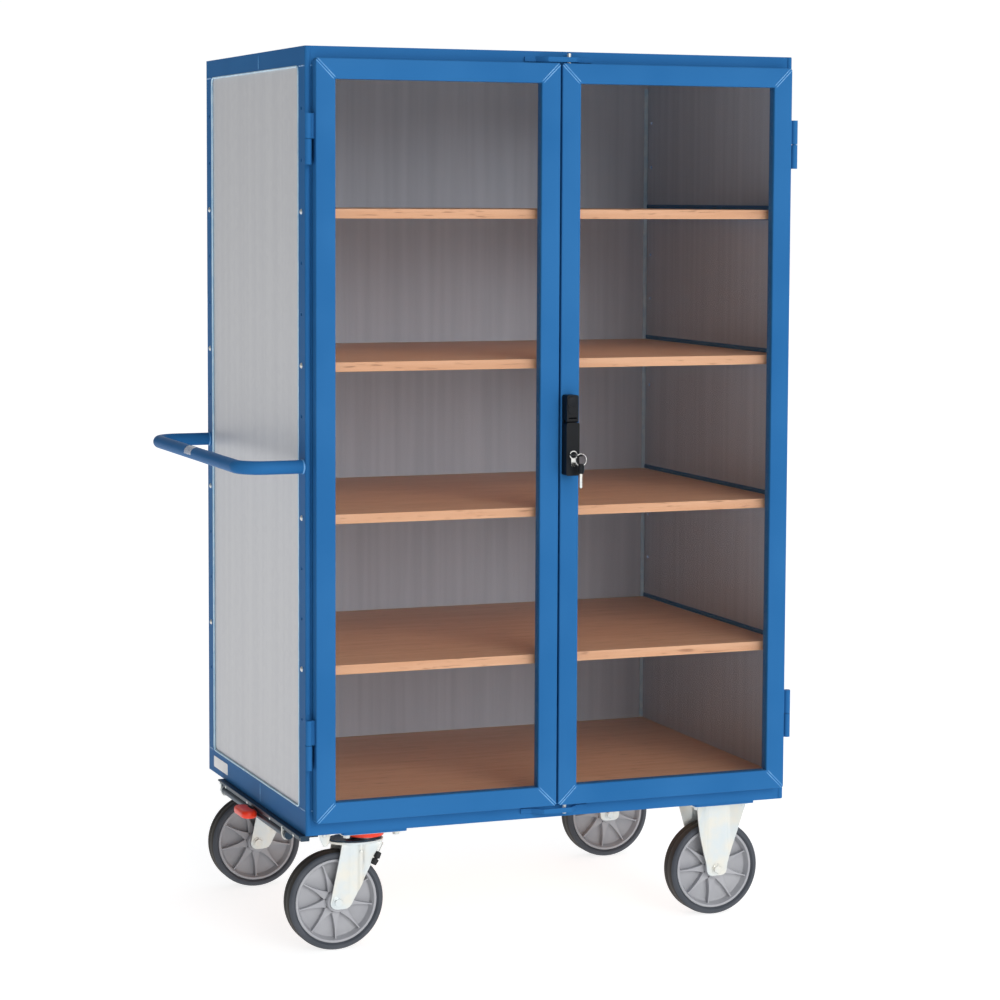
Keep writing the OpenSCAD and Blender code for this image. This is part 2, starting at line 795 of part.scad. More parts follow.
module castor_bolts() {
  place() color(zinc) for (x = [swivel_x, fixed_x], y = castor_y) at_bolts(x, y) {
    translate([0, 0, castor_top - plate_t - bolt_head_h]) cylinder(r = bolt_head_r, h = bolt_head_h, $fn = 6);
    translate([0, 0, castor_top - plate_t - 1]) cylinder(r = bolt_r, h = mount_t + plate_t + 1);
  }
}

// Top plates of the swivel castors, each with its pressed dome and king pin
module swivel_plates() {
  place() color(zinc) for (y = castor_y) union() {
    top_plate(swivel_x, y, castor_top - plate_t, plate_t, plate_l, plate_d);
    translate([swivel_x, y, dome_z]) cylinder(r = dome_r, h = castor_top - plate_t - dome_z + 1);
    translate([swivel_x, y, crown_z - king_head_h]) cylinder(r = king_r, h = dome_z - crown_z + king_head_h + 1);
    translate([swivel_x, y, crown_z - king_head_h - face_gap])
      cylinder(r = king_head_r, h = king_head_h);
  }
}

// Red rings round the swivel castors' domes
module brake_rings() {
  place() color(red) for (y = castor_y) translate([swivel_x, y, dome_z + ring_up]) difference() {
    cylinder(r = ring_out_r, h = ring_t);
    translate([0, 0, -1]) cylinder(r = dome_r, h = ring_t + 2);
  }
}

// Outline of a swivel fork's leg: upright at the back, sloping to the axle at the front
module swivel_leg_outline() {
  polygon([[swivel_x - crown_back, crown_z + crown_t], [swivel_x + crown_ahead, crown_z + crown_t],
           [swivel_x + crown_ahead, crown_z - 10], [swivel_wheel_x + 28, wheel_r - leg_foot + 9],
           [swivel_wheel_x + 20, wheel_r - leg_foot], [swivel_wheel_x - 9, wheel_r - leg_foot],
           [swivel_wheel_x - 17, wheel_r - leg_foot + 9]]);
}

// Outline of a fixed bracket's leg
module fixed_leg_outline() {
  polygon([[fixed_x - 58, castor_top - plate_t], [fixed_x + 58, castor_top - plate_t],
           [fixed_x + 22, wheel_r - leg_foot + 6], [fixed_x + 15, wheel_r - leg_foot],
           [fixed_x - 15, wheel_r - leg_foot], [fixed_x - 22, wheel_r - leg_foot + 6]]);
}

// Axle bolt with its spacer sleeve, head and nut
module axle(x, y) {
  bar_y(x, wheel_r, sleeve_r, y - fork_gap / 2, y + fork_gap / 2);
  bar_y(x, wheel_r, axle_r, y - fork_gap / 2 - fork_t - 1, y + fork_gap / 2 + fork_t + 1);
  for (s = [-1, 1]) translate([x, y + s * (fork_gap / 2 + fork_t + 3.5), wheel_r])
    rotate([90, 0, 0]) cylinder(r = 10.5, h = 7, center = true, $fn = 6);
}

// Two legs of an outline either side of a wheel, drilled for the axle
module legs(x, y) {
  difference() {
    for (s = [-1, 1]) {
      in = y + s * fork_gap / 2;
      out = in + s * fork_t;
      plate_y(min(in, out), max(in, out)) children();
    }
    bar_y(x, wheel_r, axle_r, y - fork_gap, y + fork_gap);
  }
}

module swivel_fork(y) {
  place() color(zinc) {
    difference() {
      union() {
        legs(swivel_wheel_x, y) swivel_leg_outline();
        slab([swivel_x - crown_reach, y - fork_gap / 2, crown_z],
             [swivel_x + crown_ahead, y + fork_gap / 2, crown_z + crown_t]);
        translate([swivel_x, y, crown_z]) cylinder(r = 45, h = crown_t);
        translate([swivel_x, y, crown_z]) cylinder(r = dome_r, h = crown_t + race_h);
      }
      translate([swivel_x, y, crown_z - 1]) cylinder(r = king_r + run_fit, h = crown_t + race_h + 2);
    }
    axle(swivel_wheel_x, y);
  }
}
module fork_front() { swivel_fork(castor_y[0]); }
module fork_rear() { swivel_fork(castor_y[1]); }

module fixed_brackets() {
  place() color(zinc) for (y = castor_y) union() {
    top_plate(fixed_x, y, castor_top - plate_t, plate_t, plate_l, plate_d);
    legs(fixed_x, y) fixed_leg_outline();
  }
}
module fixed_axles() { place() color(zinc) for (y = castor_y) axle(fixed_x, y); }

// Wheel centre: rim, web, nine tapered spokes on each side and a boss round the sleeve
module wheel_hub(x, y, phase) {
  place() color(grey_plastic) translate([x, y, wheel_r]) rotate([90, 0, 0]) difference() {
    union() {
      rotate_extrude() polygon([
        [sleeve_r, -hub_len / 2], [boss_r, -hub_len / 2], [boss_r + 2, -web_t / 2],
        [rim_r - 2 * rim_lip, -web_t / 2], [rim_r - rim_lip, -rim_w / 2], [rim_r, -rim_w / 2],
        [rim_r, rim_w / 2], [rim_r - rim_lip, rim_w / 2], [rim_r - 2 * rim_lip, web_t / 2],
        [boss_r + 2, web_t / 2], [boss_r, hub_len / 2], [sleeve_r, hub_len / 2]]);
      for (i = [0 : spokes - 1]) rotate([0, 0, phase + i * 360 / spokes])
        translate([0, 0, -spoke_w / 2]) linear_extrude(spoke_w)
          polygon([[boss_r - 2, -8], [rim_r - rim_lip, -2], [rim_r - rim_lip, 2], [boss_r - 2, 8]]);
    }
    cylinder(r = sleeve_r + run_fit, h = hub_len + 2, center = true);
  }
}

// Tyre with rounded shoulders
module wheel_tyre(x, y) {
  r = 7;
  place() color(tyre_grey) translate([x, y, wheel_r]) rotate([90, 0, 0]) rotate_extrude() {
    translate([rim_r, -tyre_w / 2]) square([tyre_t - r, tyre_w]);
    translate([rim_r, -tyre_w / 2 + r]) square([tyre_t, tyre_w - 2 * r]);
    for (s = [-1, 1]) translate([wheel_r - r, s * (tyre_w / 2 - r)]) circle(r);
  }
}

module hub_front_left() { wheel_hub(swivel_wheel_x, castor_y[0], left_phase); }
module hub_rear_left() { wheel_hub(swivel_wheel_x, castor_y[1], left_phase); }
module hub_front_right() { wheel_hub(fixed_x, castor_y[0], right_phase); }
module hub_rear_right() { wheel_hub(fixed_x, castor_y[1], right_phase); }
module tyre_front_left() { wheel_tyre(swivel_wheel_x, castor_y[0]); }
module tyre_rear_left() { wheel_tyre(swivel_wheel_x, castor_y[1]); }
module tyre_front_right() { wheel_tyre(fixed_x, castor_y[0]); }
module tyre_rear_right() { wheel_tyre(fixed_x, castor_y[1]); }

// ---------------------------------------------------------------- central brake

// Angle strip over the brake shaft, under the left rail
module brake_cover() {
  place() color(dark_zinc) {
    slab([shaft_x - 13, 4, base_z - cover_t], [shaft_x + cover_w - 13, body_d - 120, base_z]);
  }
}

// Ears that hang from the cover and carry the shaft's ends
module brake_brackets() {
  place() color(zinc) for (y = [shaft_mid - shaft_len / 2 + 12, shaft_mid + shaft_len / 2 - 16])
    difference() {
      slab([shaft_x - 12, y, shaft_z - 12], [shaft_x + 18, y + bracket_t, base_z - cover_t]);
      bar_y(shaft_x, shaft_z, shaft_r + run_fit, y - 1, y + bracket_t + 1);
    }
}

// Shaft that turns in the ears, with the arm that carries the pedal
module brake_shaft() {
  place() color(dark_zinc) union() {
    bar_y(shaft_x, shaft_z, shaft_r, shaft_mid - shaft_len / 2, shaft_mid + shaft_len / 2);
    slab([shaft_x - shaft_r - pedal_gap, pedal_y - 14, shaft_z - 3], [shaft_x, pedal_y + 14, shaft_z + 3]);
  }
}

// Red foot pedal
module brake_pedal() {
  r = pedal_w / 2;
  x = shaft_x - shaft_r - pedal_gap - r;
  place() color(red) translate([0, 0, shaft_z - pedal_t / 2 - 1]) linear_extrude(pedal_t)
    round_rect(x - r, pedal_y - pedal_l / 2, x + r, pedal_y + pedal_l / 2, r - 1);
}

bottom_frame();
top_frame();
post_front_left();
post_front_right();
post_rear_left();
post_rear_right();
panel_left();
panel_right();
panel_back();
roof_sheet();
deck_board();
shelf_1();
shelf_2();
shelf_3();
shelf_4();
shelf_rails_1();
shelf_rails_2();
shelf_rails_3();
shelf_rails_4();
shelf_screws();
push_handle();
keeper_top();
keeper_bottom();
hinges_frame();
castor_mounts();
castor_bolts();
brake_cover();
brake_brackets();
brake_shaft();
brake_pedal();
swivel_plates();
brake_rings();
fork_front();
fork_rear();
fixed_brackets();
fixed_axles();
hub_front_left();
tyre_front_left();
hub_rear_left();
tyre_rear_left();
hub_front_right();
tyre_front_right();
hub_rear_right();
tyre_rear_right();
door_frame_left();
door_pane_left();
door_glazing_left();
hinges_door_left();
door_frame_right();
door_pane_right();
door_glazing_right();
hinges_door_right();
lock_base();
lock_hub();
lock_lever();
lock_cylinder();
key();
key_ring();
rod_upper();
rod_lower();
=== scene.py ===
# %% [markdown]
# # A cabinet trolley, finished piece by piece
# The object is a tall steel cabinet on four castors: two glazed doors in front, wooden
# shelves inside, a push handle on the left end and a foot brake under it. Its working parts
# come in as a fixed frame, already in place and in metres: +Z is up, the doors face -Y and
# the handle points to -X. What is added here is what a workshop adds last: rolled edges,
# weld beads, moulded wheels, bolts with real heads, and a finish for every surface.

# %% Load the frame
import json
from math import atan2, cos, hypot, pi, radians, sin

import bmesh
import bpy
from mathutils import Matrix, Vector


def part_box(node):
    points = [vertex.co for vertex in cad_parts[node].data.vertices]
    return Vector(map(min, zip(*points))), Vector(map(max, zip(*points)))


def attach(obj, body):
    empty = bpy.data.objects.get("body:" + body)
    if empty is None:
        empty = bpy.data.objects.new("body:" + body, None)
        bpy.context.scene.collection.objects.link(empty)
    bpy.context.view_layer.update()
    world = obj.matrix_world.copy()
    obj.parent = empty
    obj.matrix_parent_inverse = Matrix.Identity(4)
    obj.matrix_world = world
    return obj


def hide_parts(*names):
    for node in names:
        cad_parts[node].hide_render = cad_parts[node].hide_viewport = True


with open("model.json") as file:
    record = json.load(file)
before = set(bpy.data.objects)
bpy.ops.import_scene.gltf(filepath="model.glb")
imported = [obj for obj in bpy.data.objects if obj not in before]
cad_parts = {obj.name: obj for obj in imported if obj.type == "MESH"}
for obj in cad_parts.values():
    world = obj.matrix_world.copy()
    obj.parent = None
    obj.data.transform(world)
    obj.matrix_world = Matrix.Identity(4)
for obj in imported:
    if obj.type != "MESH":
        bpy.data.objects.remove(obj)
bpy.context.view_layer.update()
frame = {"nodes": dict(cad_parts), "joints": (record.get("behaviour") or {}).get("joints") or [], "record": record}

scene = bpy.context.scene
nodes = frame["nodes"]

# %% [markdown]
# ## Places come from the frame
# A measured place would be wrong as soon as the design changed, so every place below is
# asked for: a node's box, a joint's centre, or a distance between two of them.

# %% Boxes and joints
ends = {"left": -1, "right": 1}
corners = ["front_left", "rear_left", "front_right", "rear_right"]
joint_at = {j["name"]: Vector(j["pos_m"]) for j in frame["joints"] if "pos_m" in j}
slot_of = {part["node"]: part["material_slot"] for part in frame["record"]["subparts"]}


def middle(node):
    """Centre of a node's box."""
    low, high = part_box(node)
    return (low + high) / 2


def span(node):
    """Size of a node's box along X, Y and Z."""
    low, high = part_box(node)
    return high - low


wheel_r = span("tyre_front_left").z / 2
tyre_half = span("tyre_front_left").y / 2
print("wheel radius", round(wheel_r, 4), "half the tyre's width", round(tyre_half, 4))

# %% [markdown]
# ## Finishes as expressions
# A material is a small sum: some noise, a mask, two colours. Written as nodes and links the
# sum gets lost, so a socket is wrapped in a class that knows plus, minus and times. Each
# operator adds one Math node, and `1 - mask` works because the reflected forms are there too.

# %% A socket that can be reckoned with
class Value:
    """A number that changes over a surface: the output of a node."""

    def __init__(self, finish, socket):
        self.finish = finish
        self.socket = socket

    def maths(self, operation, first, second):
        return self.finish.node("ShaderNodeMath", {"operation": operation}, {0: first, 1: second})

    def __add__(self, other):
        return self.maths("ADD", self, other)

    def __radd__(self, other):
        return self.maths("ADD", other, self)

    def __sub__(self, other):
        return self.maths("SUBTRACT", self, other)

    def __rsub__(self, other):
        return self.maths("SUBTRACT", other, self)

    def __mul__(self, other):
        return self.maths("MULTIPLY", self, other)

    def __rmul__(self, other):
        return self.maths("MULTIPLY", other, self)

    def spread(self, low, high):
        """0 below low, 1 above high, and a smooth rise between them."""
        return self.finish.node("ShaderNodeMapRange", {"interpolation_type": "SMOOTHSTEP"},
                                {"Value": self, "From Min": low, "From Max": high})


# %% One finish and its nodes
finishes = {}


class Finish:
    """A material: one Principled shader and what feeds it."""

    def __init__(self, name):
        self.material = bpy.data.materials.new(name)
        self.material.use_nodes = True
        self.tree = self.material.node_tree
        self.shader = self.tree.nodes["Principled BSDF"]
        self.place = self.node("ShaderNodeTexCoord", out="Object")
        finishes[name] = self

    def node(self, kind, settings=None, inputs=None, out=0):
        """Adds a node: its settings first, then the values or links of its sockets."""
        made = self.tree.nodes.new(kind)
        for key, value in (settings or {}).items():
            setattr(made, key, value)
        for key, value in (inputs or {}).items():
            self.feed(made.inputs[key], value)
        return Value(self, made.outputs[out])

    def feed(self, socket, value):
        if isinstance(value, Value):
            self.tree.links.new(value.socket, socket)
        else:
            socket.default_value = value

    def set(self, sockets):
        for key, value in sockets.items():
            self.feed(self.shader.inputs[key], value)

    def stretched(self, stretch):
        return self.node("ShaderNodeMapping", {}, {"Vector": self.place, "Scale": stretch})

    def noise(self, scale, detail=2.0, stretch=(1, 1, 1)):
        """Soft noise; scale is in features per metre, and stretch squeezes it per axis."""
        return self.node("ShaderNodeTexNoise", {},
                         {"Vector": self.stretched(stretch), "Scale": scale, "Detail": detail})

    def mix(self, mask, low, high):
        """The colour low where the mask is 0 and high where it is 1."""
        return self.node("ShaderNodeMix", {"data_type": "RGBA"}, {0: mask, 6: low, 7: high}, out=2)

    def bump(self, height, depth):
        """A normal that follows height, with depth in metres."""
        return self.node("ShaderNodeBump", {}, {"Height": height, "Distance": depth, "Strength": 1.0})


def rgb(code):
    """Linear colour of a screen colour such as 3C78B4."""
    parts = [int(code[i:i + 2], 16) / 255 for i in (0, 2, 4)]
    return (*(p / 12.92 if p < 0.04 else ((p + 0.055) / 1.055) ** 2.4 for p in parts), 1.0)


print("paint blue as linear light:", [round(c, 3) for c in rgb("2A68A2")[:3]])

# %% [markdown]
# ## Paint
# Powder coat is sprayed on as dust and melted, so it is smooth with a fine orange peel, never
# mirror flat. A bump of a few hundredths of a millimetre breaks up the reflections, and a
# slow noise moves the colour a little, as a coat's thickness does.

# %% Blue powder coat
paint = Finish("blue_paint")
cloud = paint.noise(5, 2)
peel = paint.noise(650, 2)
paint.set({
    "Base Color": paint.mix(cloud.spread(0.3, 0.7), rgb("2A68A2"), rgb("306EA8")),
    "Roughness": 0.3 + 0.1 * cloud,
    "Specular IOR Level": 0.015,
    "Normal": paint.bump(peel, 0.00002),
})

# %% Paint with a painted highlight
# Beads take a paler, glossier blue than the paint; the paler colour is a painted highlight of the light their
# round tops catch.
highlighted_paint = Finish("paint_with_painted_highlight")
cloud = highlighted_paint.noise(40, 2)
highlighted_paint.set({
    "Base Color": highlighted_paint.mix(cloud.spread(0.3, 0.7), rgb("4C8FCB"), rgb("6AA6DA")),
    "Roughness": 0.22 + 0.1 * cloud,
    "Specular IOR Level": 0.5,
    "Normal": highlighted_paint.bump(cloud, 0.00003),
})

# Near-white blue for thin bright strips: the colour is a painted highlight, the light that a rounded edge
# reflects.
painted_glint = Finish("painted_edge_highlight")
cloud = painted_glint.noise(60, 2)
painted_glint.set({
    "Base Color": painted_glint.mix(cloud.spread(0.3, 0.7), rgb("B4DCF6"), rgb("CDEBFC")),
    "Roughness": 0.2 + 0.1 * cloud,
})

# %% [markdown]
# ## Sheet and plated steel
# Galvanised sheet freezes into crystals, so its shine changes from cell to cell, and the
# rollers leave faint streaks along the sheet. Zinc plating is finer: a bluish shine that
# clouds towards straw yellow. A metal's colour is its reflection, but air dulls the zinc of a
# sheet to a fine grey, so the sheet counts as a metal only in part.

# %% Galvanised sheet
sheet = Finish("galvanised")
cell = sheet.node("ShaderNodeTexVoronoi", {}, {"Vector": sheet.place, "Scale": 70}, out="Color")
cell = sheet.node("ShaderNodeSeparateColor", {}, {"Color": cell})
streak = sheet.noise(1, 3, (30, 30, 0.4))
shade = 0.15 * cell + 0.85 * streak
sheet.set({
    "Base Color": sheet.mix(shade.spread(0.25, 0.75), rgb("D5D6DA"), rgb("DDDEE1")),
    "Metallic": 0.14,
    "Roughness": 0.4 + 0.02 * cell + 0.04 * streak,
    "Specular IOR Level": 0.2,
    "Normal": sheet.bump(streak, 0.000001),
})

# %% The same sheet, darker and bluer, for the back and right panels: a copy with painted shade of the cabinet's inside
shaded_sheet = Finish("galvanised_painted_shade")
streak = shaded_sheet.noise(1, 3, (60, 60, 1.5))
shaded_sheet.set({
    "Base Color": shaded_sheet.mix(streak.spread(0.25, 0.75), rgb("B8C6D8"), rgb("C4D1E2")),
    "Metallic": 0.2,
    "Roughness": 0.4 + 0.1 * streak,
    "Normal": shaded_sheet.bump(streak, 0.000006),
})

# %% Bright zinc
zinc = Finish("zinc_plate")
haze = zinc.noise(22, 3)
grain = zinc.noise(900, 2)
zinc.set({
    "Base Color": zinc.mix(haze.spread(0.35, 0.7), rgb("D6DEE0"), rgb("E2E0D6")),
    "Metallic": 0.6,
    "Roughness": 0.24 + 0.16 * haze,
    "Normal": zinc.bump(grain, 0.00002),
})

# %% Dark zinc
dark = Finish("dark_zinc")
haze = dark.noise(30, 3)
grain = dark.noise(500, 3)
dark.set({
    "Base Color": dark.mix(haze.spread(0.3, 0.7), rgb("1F3140"), rgb("35495A")),
    "Metallic": 0.7,
    "Roughness": 0.28 + 0.2 * haze,
    "Normal": dark.bump(grain, 0.00003),
})

# %% Chrome and nickel
chrome = Finish("chrome")
smear = chrome.noise(140, 2)
chrome.set({
    "Base Color": rgb("DDDDDA"),
    "Metallic": 1.0,
    "Roughness": 0.1 + 0.14 * smear,
})

# %% [markdown]
# ## Wood
# The boards are faced with beech: long pale grain with short dark flecks. Grain is noise
# pulled out along one axis. The boards lie with their grain along X, so X is squeezed.

# %% Beech boards
beech = Finish("beech_board")
grain = beech.noise(60, 4, (0.05, 1, 1))
fleck = beech.noise(260, 2, (0.09, 1, 1)).spread(0.6, 0.74)
board = beech.mix(grain.spread(0.25, 0.75), rgb("D6A37C"), rgb("E3B692"))
beech.set({
    "Base Color": beech.mix(fleck, board, rgb("AE7E5C")),
    "Roughness": 0.42 + 0.14 * grain,
    "Normal": beech.bump(grain - 0.5 * fleck, 0.0001),
})

# %% [markdown]
# ## Clear panes
# A clear pane shows what is behind it and mirrors what is in front, more so at a glancing
# angle. A see-through shader mixed with a mirror by the angle of view does this and, unlike
# real refraction, lets the lamps light the shelves. The mirror grows with the fifth power of
# the slant, the same from both sides, so a pane seen from the side stays clear.

# %% Panes
pane = Finish("clear_acrylic")
pane.set({"Base Color": rgb("C9CDD2"), "Metallic": 1.0, "Roughness": 0.06 + 0.03 * pane.noise(3, 2)})
through = pane.node("ShaderNodeBsdfTransparent", {}, {"Color": rgb("FDFBFA")})
edge = pane.node("ShaderNodeLayerWeight", {}, {"Blend": 0.5}, out="Facing")
squared = edge * edge
mirror = 0.012 + 0.6 * (squared * squared * edge)
glaze = pane.node("ShaderNodeMixShader", {}, {0: mirror, 1: through, 2: Value(pane, pane.shader.outputs[0])})
pane.feed(pane.tree.nodes["Material Output"].inputs["Surface"], glaze)

# %% [markdown]
# ## Plastics and rubber
# Moulded plastic copies a fine spark-eroded grain from its mould. Rubber is duller, and dust
# settles into it. Each is one noise for the grain and one for the unevenness.

# %% A function for moulded materials
def moulded(name, low, high, roughness, grain_scale, grain_depth):
    finish = Finish(name)
    patch = finish.noise(18, 3)
    grain = finish.noise(grain_scale, 2)
    finish.set({
        "Base Color": finish.mix(patch.spread(0.3, 0.75), rgb(low), rgb(high)),
        "Roughness": roughness + 0.12 * patch,
        "Normal": finish.bump(grain, grain_depth),
    })
    return finish


moulded("black_plastic", "0B0E12", "11161D", 0.38, 1500, 0.00001).set({"Specular IOR Level": 0.2})
moulded("red_plastic", "FA3A1C", "FF4526", 0.3, 900, 0.00001)
moulded("hub_plastic", "A2A3A8", "AEAFB3", 0.4, 1200, 0.00002)
moulded("tyre_rubber", "3A3F47", "474B53", 0.56, 700, 0.00004)
moulded("tread_rubber", "2A2826", "38342F", 0.66, 420, 0.00012)
moulded("rubber_seal", "0C0D0F", "16181A", 0.55, 800, 0.00005)
moulded("label_white", "F2F2F4", "FAFAFA", 0.45, 1600, 0.00001)
print("finishes:", ", ".join(sorted(finishes)))

# %% [markdown]
# ## From points to pieces
# Most of what follows is turned, bent or cut. Each shape is a row of rings of points, and
# `bands` lays faces from ring to ring. On it stand `turned`, which spins a profile round an
# axis, and `swept`, which draws a round bar along a line; `prism` cuts a plate from an outline.
# `finished` gives a mesh its finish and edges and lets it ride on a body.

# %% Finished
def finished(name, bm, finish, body, stands_for=(), edge=0.0, smooth=35):
    """Turns a bmesh into a piece that rides on a body, with a bevel on its sharp edges when edge is given."""
    bmesh.ops.recalc_face_normals(bm, faces=bm.faces)
    mesh = bpy.data.meshes.new(name)
    bm.to_mesh(mesh)
    bm.free()
    mesh.shade_smooth()
    mesh.set_sharp_from_angle(angle=radians(smooth))
    mesh.materials.append(finishes[finish].material)
    piece = bpy.data.objects.new(name, mesh)
    scene.collection.objects.link(piece)
    if edge:
        bevel(piece, edge)
    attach(piece, body)
    for node in stands_for:
        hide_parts(node)
    print(name, "with", len(mesh.polygons), "faces rides on", body)
    return piece


def bevel(piece, width, angle=40, segments=2):
    """Rounds the edges that are sharper than the angle."""
    made = piece.modifiers.new("rounded edges", "BEVEL")
    made.width = width
    made.segments = segments
    made.limit_method = "ANGLE"
    made.angle_limit = radians(angle)
    made.use_clamp_overlap = True
    even = piece.modifiers.new("even shading", "WEIGHTED_NORMAL")
    even.keep_sharp = True


# %% Turned, swept and cut shapes
tip = 0.0004  # a solid profile starts this close to its axis


def bands(bm, rings, closed=False):
    """Faces between each ring and the next; closed joins the last to the first, else both are capped."""
    faces = []
    for low, high in zip(rings, rings[1:] + (rings[:1] if closed else [])):
        for i in range(len(low)):
            j = (i + 1) % len(low)
            faces.append(bm.faces.new((low[i], low[j], high[j], high[i])))
    if not closed:
        bm.faces.new(rings[0][::-1])
        bm.faces.new(rings[-1])
    return faces


def turned(bm, profile, at, axis, steps=64, closed=False):
    """Spins (radius, height) points round an axis through a point; closed keeps the bore open."""
    turn = Vector((0, 0, 1)).rotation_difference(Vector(axis)).to_matrix()
    rings = []
    for radius, height in profile:
        ring = [turn @ Vector((radius * cos(2 * pi * i / steps), radius * sin(2 * pi * i / steps), height))
                for i in range(steps)]
        rings.append([bm.verts.new(Vector(at) + p) for p in ring])
    return bands(bm, rings, closed)


def prism(bm, outline, at, across, up, depth):
    """Closed plate: a flat outline in the plane of across and up, given thickness by depth."""
    across, up, depth = Vector(across), Vector(up), Vector(depth)
    front = [bm.verts.new(Vector(at) + across * u + up * v) for u, v in outline]
    back = [bm.verts.new(v.co + depth) for v in front]
    bm.faces.new(front)
    bm.faces.new(back[::-1])
    count = len(front)
    for i in range(count):
        j = (i + 1) % count
        bm.faces.new((front[i], back[i], back[j], front[j]))


def swept(bm, points, radius, sides=10, closed=False):
    """Round bar along a line of points."""
    points = [Vector(p) for p in points]
    count = len(points)
    rings = []
    for i, p in enumerate(points):
        before = points[i - 1] if closed or i else p
        after = points[(i + 1) % count] if closed or i < count - 1 else p
        along = (after - before).normalized()
        side = along.orthogonal() if not rings else (last - along * last.dot(along)).normalized()
        side.normalize()
        last = side
        other = along.cross(side)
        turns = [2 * pi * k / sides for k in range(sides)]
        rings.append([bm.verts.new(p + radius * (side * cos(a) + other * sin(a))) for a in turns])
    bands(bm, rings, closed)


def hexagon(radius, turn):
    return [(radius * cos(turn + i * pi / 3), radius * sin(turn + i * pi / 3)) for i in range(6)]


def rounded(width, height, radius, steps=5):
    """Rectangle with round corners, centred on 0, 0."""
    points = []
    for cx, cy, start in ((1, 1, 0), (-1, 1, 90), (-1, -1, 180), (1, -1, 270)):
        for i in range(steps + 1):
            a = radians(start + 90 * i / steps)
            points.append((cx * (width / 2 - radius) + radius * cos(a),
                           cy * (height / 2 - radius) + radius * sin(a)))
    return points


# %% [markdown]
# ## Nodes that keep their shape
# Rails, posts, boards and hinges already have their true shape. They only lack the small radius that every sheared
# or sawn edge has, so each one but the posts and panels gets a narrow bevel as a modifier, after its doubled
# corners are welded. Each takes the finish of its slot, except the back and right panels, which take a copy with
# painted shade.

# %% Finish and soften the frame's own nodes
edge_of = {"blue_paint": 0.0009, "galvanised": 0.0003, "beech_board": 0.0008, "zinc_plate": 0.0006,
           "dark_zinc": 0.0008, "red_plastic": 0.0015, "black_plastic": 0.0012, "chrome": 0.0004}
for name, piece in nodes.items():
    slot = slot_of[name]
    piece.data.materials.clear()
    # The back and right panels take the darker, bluer copy of the sheet: painted shade of the cabinet's inside.
    inner = name in ("panel_back", "panel_right")
    piece.data.materials.append(finishes["galvanised_painted_shade" if inner else slot].material)
    if slot in edge_of and not name.startswith(("panel", "post")):
        weld = piece.modifiers.new("joined corners", "WELD")
        weld.merge_threshold = 0.00001
        bevel(piece, edge_of[slot])
print("softened", sum(len(p.modifiers) > 0 for p in nodes.values()), "nodes")

# %% [markdown]
# ## Wheels
# A wheel of this kind is a grey moulded centre with a solid rubber tyre. The tyre's tread is
# browner and duller than its side, so the profile is turned once and each ring of faces takes
# the finish of its place. The mould line in the middle of the tread is a small step in it.

# %% Tyres
def tyre_profile(bore):
    """(radius, height, is tread) round the tyre's section."""
    shoulder = 0.009
    points = [(bore, -tyre_half + 0.004, False), (bore + 0.004, -tyre_half, False)]
    for i in range(7):
        a = radians(15 * i)
        points.append((wheel_r - shoulder * (1 - sin(a)), -tyre_half + shoulder * (1 - cos(a)), i > 3))
    points += [(wheel_r, -0.0012, True), (wheel_r - 0.0004, -0.0006, True)]
    other = [(r, -h, tread) for r, h, tread in reversed(points)]
    return points + other


tyre_steps = 96
for corner in corners:
    bm = bmesh.new()
    hub_r = span("hub_" + corner).z / 2
    profile = tyre_profile(hub_r)
    faces = turned(bm, [(r, h) for r, h, tread in profile], middle("tyre_" + corner), (0, 1, 0),
                   tyre_steps, closed=True)
    treads = [tread for r, h, tread in profile]
    for i, face in enumerate(faces):
        ring = i // tyre_steps
        face.material_index = int(treads[ring] and treads[(ring + 1) % len(treads)])
    tyre = finished("tyre_skin_" + corner, bm, "tyre_rubber", "wheel_" + corner, ["tyre_" + corner])
    tyre.data.materials.append(finishes["tread_rubber"].material)
print("tyre radius", wheel_r, "on a rim of", round(hub_r, 4))

# %% [markdown]
# The centre has a rim with a proud lip, a thin web, nine ribs on each side and a boss. A rib
# is thin at the rim and spreads towards the boss in a hollow curve, so that two neighbours
# almost meet there. Its half width is a power of the distance to the rim, which bends more
# and more as it nears the boss.

# %% Wheel centres
ribs = 9
rib_phase = {"left": radians(10), "right": radians(18)}
web_half = 0.004
boss_r = 0.021
lip = 0.005


def rib_outline(inner, outer, steps=9):
    side = []
    for i in range(steps + 1):
        t = i / steps
        side.append((inner + (outer - inner) * t, 0.0014 + 0.0095 * (1 - t) ** 2.3))
    side.append((outer + 0.002, 0.004))
    return side + [(r, -w) for r, w in reversed(side)]


def wheel_centre(corner):
    hub_half = span("hub_" + corner).y / 2
    rim_r = span("hub_" + corner).z / 2
    rim_half = tyre_half - 0.003
    bore = 0.01
    half = [(bore, hub_half), (boss_r - 0.002, hub_half), (boss_r, hub_half - 0.002),
            (boss_r + 0.0015, web_half + 0.002), (boss_r + 0.004, web_half),
            (rim_r - 3 * lip, web_half), (rim_r - 2 * lip, web_half + 0.002),
            (rim_r - 1.1 * lip, rim_half - 0.001), (rim_r - lip, rim_half), (rim_r - 0.001, rim_half),
            (rim_r, rim_half - 0.001)]
    bm = bmesh.new()
    at = middle("hub_" + corner)
    turned(bm, half + [(r, -h) for r, h in reversed(half)], at, (0, 1, 0), 72, closed=True)
    phase = rib_phase["left" if corner.endswith("left") else "right"]
    rib_half = rim_half - 0.004
    for i in range(ribs):
        a = phase + 2 * pi * i / ribs
        along = Vector((cos(a), 0, -sin(a)))
        across = Vector((sin(a), 0, cos(a)))
        prism(bm, rib_outline(boss_r - 0.003, rim_r - 1.8 * lip), at - Vector((0, rib_half, 0)),
              along, across, (0, 2 * rib_half, 0))
    return finished("wheel_centre_" + corner, bm, "hub_plastic", "wheel_" + corner, ["hub_" + corner],
                    edge=0.0009, smooth=30)


